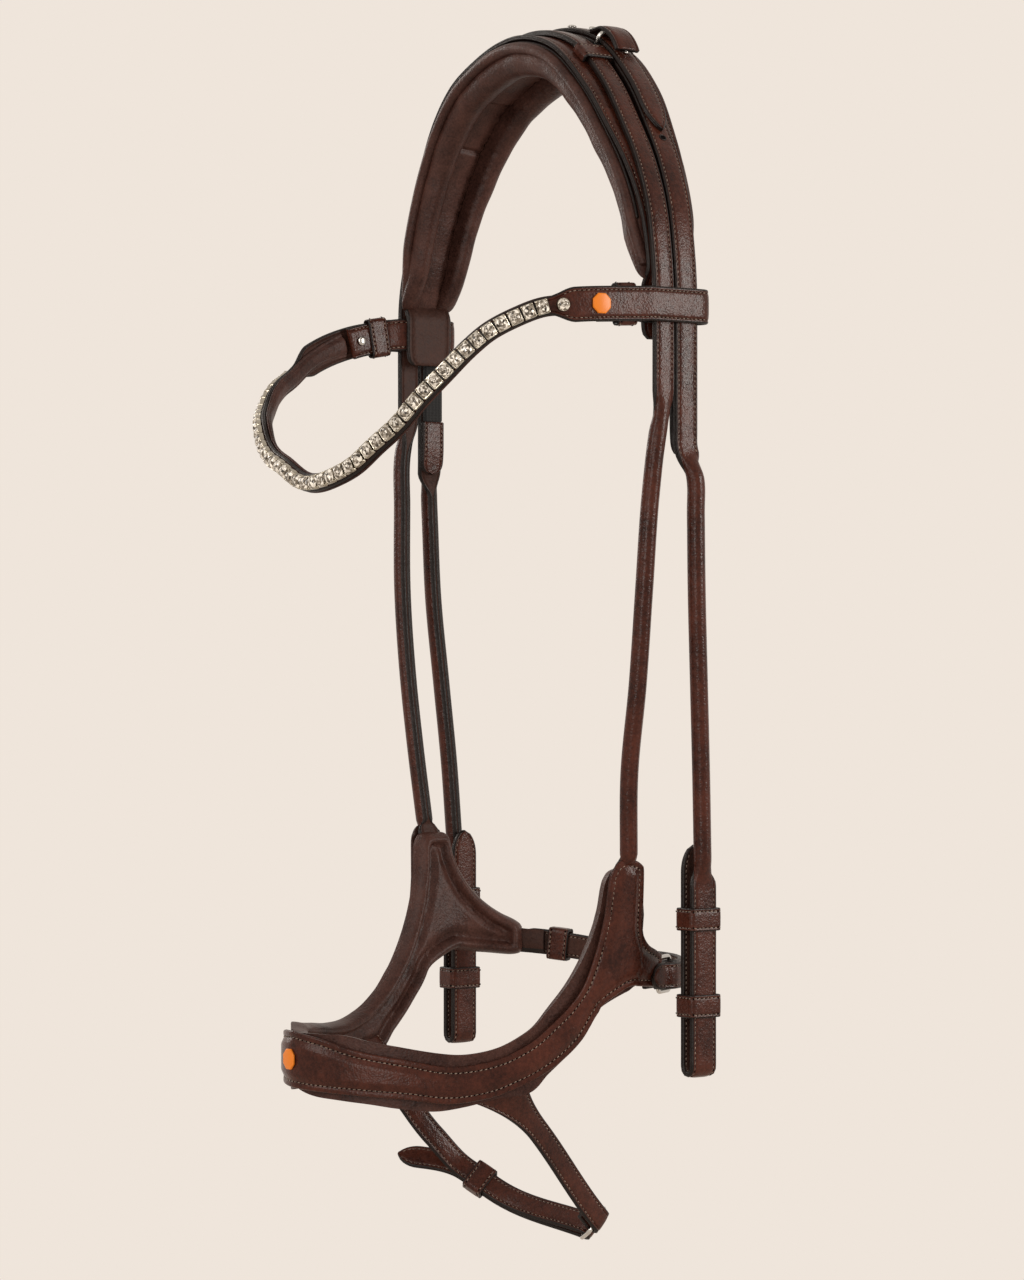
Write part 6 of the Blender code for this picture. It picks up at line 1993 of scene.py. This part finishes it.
    def fold(self, run: float, thickness: float, way: int) -> tuple[Array, Array, float]:
        """Leather folded inward round a bar of the jaw buckle.

        Args:
            run: metres along the wall from the noseband's near end.
            thickness: of the leather.
            way: 1 for leather that ends rearwards.

        Returns:
            The fold's points, the bar's middle and the angle there.
        """
        radius = STOCK.wire / 2 + STOCK.gap + thickness / 2
        angle = self.near_end + np.degrees(run / NOSE.rear_radius)
        place, out = NOSE.wall(angle, NOSE.level())
        ahead = np.cross(UP, out) * way
        turn = half_turn(place, ahead, -out, radius, 14)
        return np.concatenate([turn, [turn[-1] - ahead * self.fold_tail]]), place - out * radius, float(angle)

    def make_jaw_strap(self) -> None:
        """Strap behind the jaw from the far rear end to the near buckle, with its keeper and ring."""
        _, front_bar, _ = self.fold(self.fold_run, STOCK.leather, 1)
        fold, rear_bar, last = self.fold(self.fold_run + self.ring_length, STOCK.light_strap, -1)
        along, length = unit(rear_bar - front_bar), float(np.linalg.norm(rear_bar - front_bar))
        half = self.jaw_width / 2 + 2 * STOCK.keeper_clearance + STOCK.wire / 2
        form = Form()
        tube(form, ring_line((front_bar + rear_bar) / 2, along, UP, length / 2, half), STOCK.wire / 2,
             Coat.STEEL, closed=True)
        out = np.cross(along, UP)
        out = out * np.sign(out[0])
        pin = rear_bar + out * 0.0020 - along * 0.0004, front_bar + out * 0.0021 - along * 0.0012
        tube(form, np.linspace(*pin, 9), 0.0008, Coat.STEEL, sides=10)
        settle(form, "jaw_buckle_ring", "noseband", "jaw_buckle_frame")

        angles = np.linspace(self.jaw_start, 180.0, 60)
        lift = STOCK.leather / 2 + STOCK.gap + STOCK.light_strap / 2
        share = 1 - smooth_step((angles - self.far_end) / (self.jaw_meet - self.far_end))
        far = NOSE.wall(-angles, NOSE.level(), lift * share)[0]
        near = NOSE.wall(np.linspace(180.0, last, 50), NOSE.level())[0][1:-1]
        path = Path(np.concatenate([far, near, fold]), UP)
        stations = path.stations(0.0020)
        widths = tip_widths(path.total - stations, path.total, self.jaw_width, 0.009, 0.6)
        form = Form()
        sweep(form, path, stations, widths, STOCK.light_strap, ((0.002, path.total - 0.026),), faces=(1, -1))
        angles = np.linspace(self.jaw_tip, last - 1.0, 50)
        over = lift + (STOCK.wire + 0.0008) * smooth_step((angles - self.near_end + 2.0) / 6.0)
        leaf = Path(NOSE.wall(angles, NOSE.level(), over)[0], UP, -1)
        stations = leaf.stations(0.0014)
        widths = tip_widths(leaf.total - stations, leaf.total, self.jaw_width, 0.007, 0.5)
        sweep(form, leaf, stations, widths, STOCK.light_strap, ((0.004, leaf.total - 0.001),))
        settle(form, "jaw_leather", "noseband", "jaw_strap")

        places, outs = NOSE.wall(-self.keeper_angle - np.array([-2.0, 0.0, 2.0]), NOSE.level(), lift / 2)
        Keeper().around(("jaw_keeper_loop", "noseband", "jaw_keeper"), places[1], places[2] - places[0],
                        outs[1], self.jaw_width, STOCK.light_strap + lift)


# The chin strap

@dataclass(frozen=True)
class ChinStrap:
    """Arms below the noseband, joined under the chin by a strap doubled through a ring."""

    angle: float = 55.0
    spread: float = 10.0
    hidden: float = 0.0050
    taper: float = 0.0460
    bow: float = 0.0052
    width: float = 0.0120
    ring: tuple[float, float, float] = (0.0360, 0.0058, -0.5715)
    hold: tuple[float, float, float] = (-0.0300, -0.0168, -0.5552)
    tip: tuple[float, float, float] = (-0.0640, -0.0440, -0.5440)
    keeper_length: float = 0.0110
    ring_length: float = 0.0150
    fold_tail: float = 0.0090

    def root(self, side: Side) -> tuple[Array, Array]:
        """Where an arm leaves the noseband, behind its leather.

        Args:
            side: near or far.

        Returns:
            The middle of the arm's upper edge, and the line of that edge.
        """
        angles = self.angle + self.spread * np.linspace(-1.0, 1.0, 9)
        table = np.array(NOSE.leather)
        edge = NOSE.drop - NOSE.rise * np.interp(angles, table[:, 0], table[:, 2])
        inward = -(STOCK.leather + STOCK.light_strap) / 2 - STOCK.gap
        places, _ = NOSE.wall(side.value * angles, edge - self.hidden, inward)
        return (places[0] + places[-1]) / 2, places[-1] - places[0]

    @property
    def fold_radius(self) -> float:
        """Radius of the middle line of leather folded round the ring."""
        return STOCK.wire / 2 + STOCK.gap + STOCK.light_strap / 2

    def arm(self, root: Array, end: Array, line: Array, across: Array
            ) -> tuple[Array, Array]:
        """Middle line of an arm, bowed back, and its half widths.

        The bow is 27 quarters of the share times the square of 1 less the share; the half width goes from
        the root's line to the strap's with the square of the way left in the taper.

        Args:
            root: where the arm leaves the noseband.
            end: where it meets the strap.
            line: the whole width at the root, as a way.
            across: way across the strap.

        Returns:
            Points and half widths as ways.
        """
        share = np.linspace(0.0, 1.0, 60)[:, None]
        bow = 27 / 4 * share * (1 - share) ** 2 * self.bow
        points = root + (end - root) * share + bow * square_to(unit(end - root), BACK)
        flare = np.clip(1 - np.linalg.norm(points - root, axis=1) / self.taper, 0.0, 1.0)[:, None]
        square = square_to(line_tangents(points), across) * self.width / 2
        line = line if line @ square[0] >= 0 else -line
        return points, square + (line / 2 - square) * flare ** 2

    def strip(self, form: Form, points: Array, halves: Array, facing: int,
              trim: tuple[float, float]) -> None:
        """Sweeps and stitches leather with its own half width at each point.

        Args:
            form: the piece.
            points: the middle line.
            halves: half widths as ways across.
            facing: sign of the way out.
            trim: metres without stitches at the start and the end.
        """
        path = Path(points, halves, facing)
        places, half, outward = self.frames(path, halves, path.stations(0.0018))
        reach = np.linalg.norm(half, axis=1)
        x, z = STRAP.outline(2 * reach, np.full(len(reach), STOCK.light_strap), 0 * reach)
        rings = (places[:, None] + (x / reach[:, None])[..., None] * half[:, None]
                 + z[..., None] * outward[:, None])
        form.loft(rings[:, ::facing], STRAP.column_coats((Coat.LEATHER, Coat.EDGE, Coat.LEATHER), facing))
        runs = np.arange(trim[0], path.total - trim[1], SADDLE.pitch)
        places, half, outward = self.frames(path, halves, runs)
        inward = half * (1 - STRAP.inset / np.linalg.norm(half, axis=1, keepdims=True))
        lift = outward * (STOCK.light_strap / 2 - STRAP.groove)
        for row in (1, -1):
            line = places + row * inward
            for face in (1, -1):
                SADDLE.lay(form, line + face * lift, line_tangents(line), face * outward, row)

    def frames(self, path: Path, halves: Array, runs: Array
               ) -> tuple[Array, Array, Array]:
        """Places, half widths as ways, and ways out at these distances; the half widths keep their slant."""
        places, _, outward = path.at(runs)
        return places, path.read(halves, runs), outward

    def make(self) -> None:
        """Builds the ring, the near arm, and the strap with the far arm and the keeper."""
        (near_root, near_line), far = self.root(Side.NEAR), self.root(Side.FAR)
        ring, hold = np.array(self.ring), np.array(self.hold)
        arm_way, strap_way = unit(ring - near_root), unit(hold - ring)
        across = unit(np.cross(arm_way, strap_way))
        ring_way = unit(arm_way + strap_way)
        bar = ring_way * self.ring_length / 2
        half = self.width / 2 + STOCK.keeper_clearance + STOCK.wire / 2
        form = Form()
        tube(form, ring_line(ring, ring_way, across, self.ring_length / 2, half), STOCK.wire / 2, Coat.STEEL,
             closed=True)
        settle(form, "chin_wire_ring", "chin_strap", "chin_ring")

        middle = (near_root + far[0]) / 2 - ring
        inside = np.cross(arm_way, across)
        inside = inside * np.sign(inside @ middle)
        points, halves = self.arm(near_root, ring - bar - inside * self.fold_radius, near_line, across)
        fold = half_turn(points[-1], arm_way, inside, self.fold_radius, 14)[1:]
        points = np.concatenate([points, fold, [fold[-1] - arm_way * self.fold_tail]])
        halves = np.concatenate([halves, np.repeat(halves[-1:], len(fold) + 1, axis=0)])
        outward = np.cross(halves[20], points[21] - points[19])
        form = Form()
        self.strip(form, points, halves, 1 if outward @ middle < 0 else -1, (0.002, 0.022))
        settle(form, "chin_arm_leather", "noseband", "chin_arm_near",
               bend=("chin_strap", near_root, near_root + 0.02 * arm_way))
        self.make_strap(far, ring + bar, across, middle)

    def make_strap(self, far: tuple[Array, Array], bar: Array, across: Array,
                   middle: Array) -> None:
        """Strap from its free tip through the keeper, round the ring and back up to the far root.

        Args:
            far: where the far arm leaves the noseband, and the line of its root.
            bar: the ring's bar that the strap folds round.
            across: way across the strap.
            middle: way from the ring towards the head.
        """
        hold, strap_way = np.array(self.hold), unit(np.subtract(self.hold, self.ring))
        out_strap = np.cross(across, strap_way)
        out_strap = -out_strap if out_strap @ middle > 0 else out_strap
        hold_way = unit(unit(far[0] - hold) + strap_way)
        out_hold = square_to(hold_way, out_strap)
        reach, spread = hold_way * self.keeper_length, out_hold * (STOCK.light_strap + STOCK.gap) / 2
        turn = out_strap * self.fold_radius
        outer, inner = hold + spread, hold - spread
        lower = smooth_path(np.array([bar + turn, outer - reach, outer, outer + reach, self.tip]), 90)
        run = runs_of(lower)
        fold = half_turn(lower[0], -strap_way, -out_strap, self.fold_radius, 14)
        leave = inner + reach
        upper = smooth_path(np.array([bar - turn, inner - reach, inner, leave,
                                      leave + (far[0] - leave) / 4]), 60)
        points = np.concatenate([lower[::-1], fold[1:], upper[1:-1]])
        widths = np.full(len(points), self.width)
        widths[:len(run)] = tip_widths(run, run[-1], self.width, 0.011, 0.62)[::-1]
        halves = square_to(line_tangents(points), across) * widths[:, None] / 2
        arm, arm_halves = self.arm(far[0], upper[-1], far[1], across)
        arm_halves = -arm_halves if arm_halves[-1] @ halves[-1] < 0 else arm_halves
        points = np.concatenate([points, arm[::-1]])
        halves = np.concatenate([halves, arm_halves[::-1]])
        facing = 1 if np.cross(halves[30], points[31] - points[29]) @ out_hold > 0 else -1
        form = Form()
        self.strip(form, points, halves, facing, (0.003, 0.002))
        settle(form, "chin_strap_leather", "noseband", "chin_strap",
               bend=("chin_strap", far[0], far[0] + 0.02 * unit(hold - far[0])))
        Keeper().around(("chin_keeper_loop", "chin_strap", "chin_keeper"), hold, hold_way, out_hold,
                        self.width, 2 * STOCK.light_strap + STOCK.gap)


# The studio

def stand_back(thing: bpy.types.Object, target: tuple[float, float, float], azimuth: float, elevation: float,
               distance: float) -> None:
    """Puts a lamp or the camera back from its target, facing it.

    Args:
        thing: the lamp or camera.
        target: the place that it faces.
        azimuth: degrees round the object, 0 in front.
        elevation: degrees above it.
        distance: metres from it.
    """
    a, e = np.radians(azimuth), np.radians(elevation)
    back = np.array([np.sin(a) * np.cos(e), -np.cos(a) * np.cos(e), np.sin(e)])
    thing.location = tuple(np.array(target) + back * distance)
    thing.rotation_euler = Vector(-back).to_track_quat("-Z", "Y").to_euler()
    bpy.context.scene.collection.objects.link(thing)


@dataclass(frozen=True)
class Softbox:
    """Large soft lamp: where it stands round the object, its size and its power."""

    name: str
    azimuth: float
    elevation: float
    distance: float
    width: float
    height: float
    power: float
    colour: str = "#fffaf4"

    def hang(self, target: tuple[float, float, float]) -> None:
        """Makes the lamp.

        Args:
            target: the place that it faces.
        """
        data = bpy.data.lights.new(self.name, "AREA")
        data.shape, data.size, data.size_y = "RECTANGLE", self.width, self.height
        data.energy, data.color = self.power, linear(self.colour)[:3]
        stand_back(bpy.data.objects.new(self.name, data), target, self.azimuth, self.elevation, self.distance)


@dataclass(frozen=True)
class Studio:
    """Pale room: world, floor, soft lamps and the camera of the photograph."""

    backdrop: str = "#efe5db"
    world_level: float = 0.40
    target: tuple[float, float, float] = (0.0, -0.018, -0.2825)
    azimuth: float = 55.0
    elevation: float = -0.28
    distance: float = 1.95
    focal_share: float = 3900 / 1280       # focal length over the picture's long side
    floor_drop: float = 0.75
    floor_radius: float = 0.80
    lamps: tuple[Softbox, ...] = (
        Softbox("key_softbox", 4.0, 26.0, 1.8, 0.36, 1.3, 13.5),
        Softbox("front_near_softbox", 41.0, 5.0, 1.9, 0.20, 1.1, 11.5),
        Softbox("near_side_softbox", 126.0, 13.0, 1.7, 0.30, 0.85, 20.0),
        Softbox("far_side_softbox", -75.0, 22.0, 1.8, 0.4, 0.9, 8.0),
    )

    def build(self) -> None:
        """Builds the room and the camera."""
        scene = bpy.context.scene
        scene.view_settings.view_transform = "Standard"
        self.make_camera(scene)
        self.make_world(scene)
        self.make_floor()
        for lamp in self.lamps:
            lamp.hang(self.target)

    def make_camera(self, scene: bpy.types.Scene) -> None:
        """Camera at the photograph's angle.

        Args:
            scene: the scene that it is for.
        """
        data = bpy.data.cameras.new("camera")
        data.sensor_width = 36.0
        data.lens = data.sensor_width * self.focal_share
        camera = bpy.data.objects.new("camera", data)
        stand_back(camera, self.target, self.azimuth, self.elevation, self.distance)
        scene.camera = camera

    def backdrop_seen(self, tree: bpy.types.NodeTree) -> bpy.types.NodeSocket:
        """1 for the rays that show the backdrop itself: camera, glossy and transmission rays."""
        path = add_node(tree, "ShaderNodeLightPath", {}, {})
        first = add_node(tree, "ShaderNodeMath", {"operation": "MAXIMUM"}, {
            0: path.outputs["Is Camera Ray"], 1: path.outputs["Is Glossy Ray"]})
        both = add_node(tree, "ShaderNodeMath", {"operation": "MAXIMUM"}, {
            0: first.outputs[0], 1: path.outputs["Is Transmission Ray"]})
        return both.outputs[0]

    def make_world(self, scene: bpy.types.Scene) -> None:
        """Pale world: the backdrop's colour at strength 1 where it is seen, and a plain level elsewhere.

        Args:
            scene: the scene that it lights.
        """
        world = bpy.data.worlds.new("pale_room")
        world.use_nodes = True
        tree = world.node_tree
        shader = tree.nodes["Background"]
        shader.inputs["Color"].default_value = linear(self.backdrop)
        level = add_node(tree, "ShaderNodeMapRange", {}, {
            "Value": self.backdrop_seen(tree), "To Min": self.world_level, "To Max": 1.0})
        tree.links.new(level.outputs["Result"], shader.inputs["Strength"])
        scene.world = world

    def make_floor(self) -> None:
        """Round pale floor below the bridle."""
        material = bpy.data.materials.new("pale_floor_paint")
        material.use_nodes = True
        shader = material.node_tree.nodes["Principled BSDF"]
        shader.inputs["Base Color"].default_value = linear(self.backdrop)
        shader.inputs["Roughness"].default_value = 0.8
        turn = np.linspace(0, 2 * np.pi, 96, endpoint=False)
        ring = np.stack([np.cos(turn), np.sin(turn), 0 * turn], 1) * self.floor_radius
        mesh = bpy.data.meshes.new("floor")
        mesh.from_pydata((ring + [self.target[0], self.target[1], -self.floor_drop]).tolist(), [],
                         [list(range(len(turn)))])
        mesh.materials.append(material)
        floor = bpy.data.objects.new("floor", mesh)
        bpy.context.scene.collection.objects.link(floor)


def main() -> None:
    """Builds the room, then each sub-assembly in order."""
    logging.basicConfig(level=logging.INFO, format="%(message)s")
    Studio().build()
    Headpiece().make()
    CrownFastening().make()
    Browband().make()
    for side in Side:
        Cheekpiece(side).make()
    Noseband().make()
    ChinStrap().make()


if __name__ == "__main__":
    main()
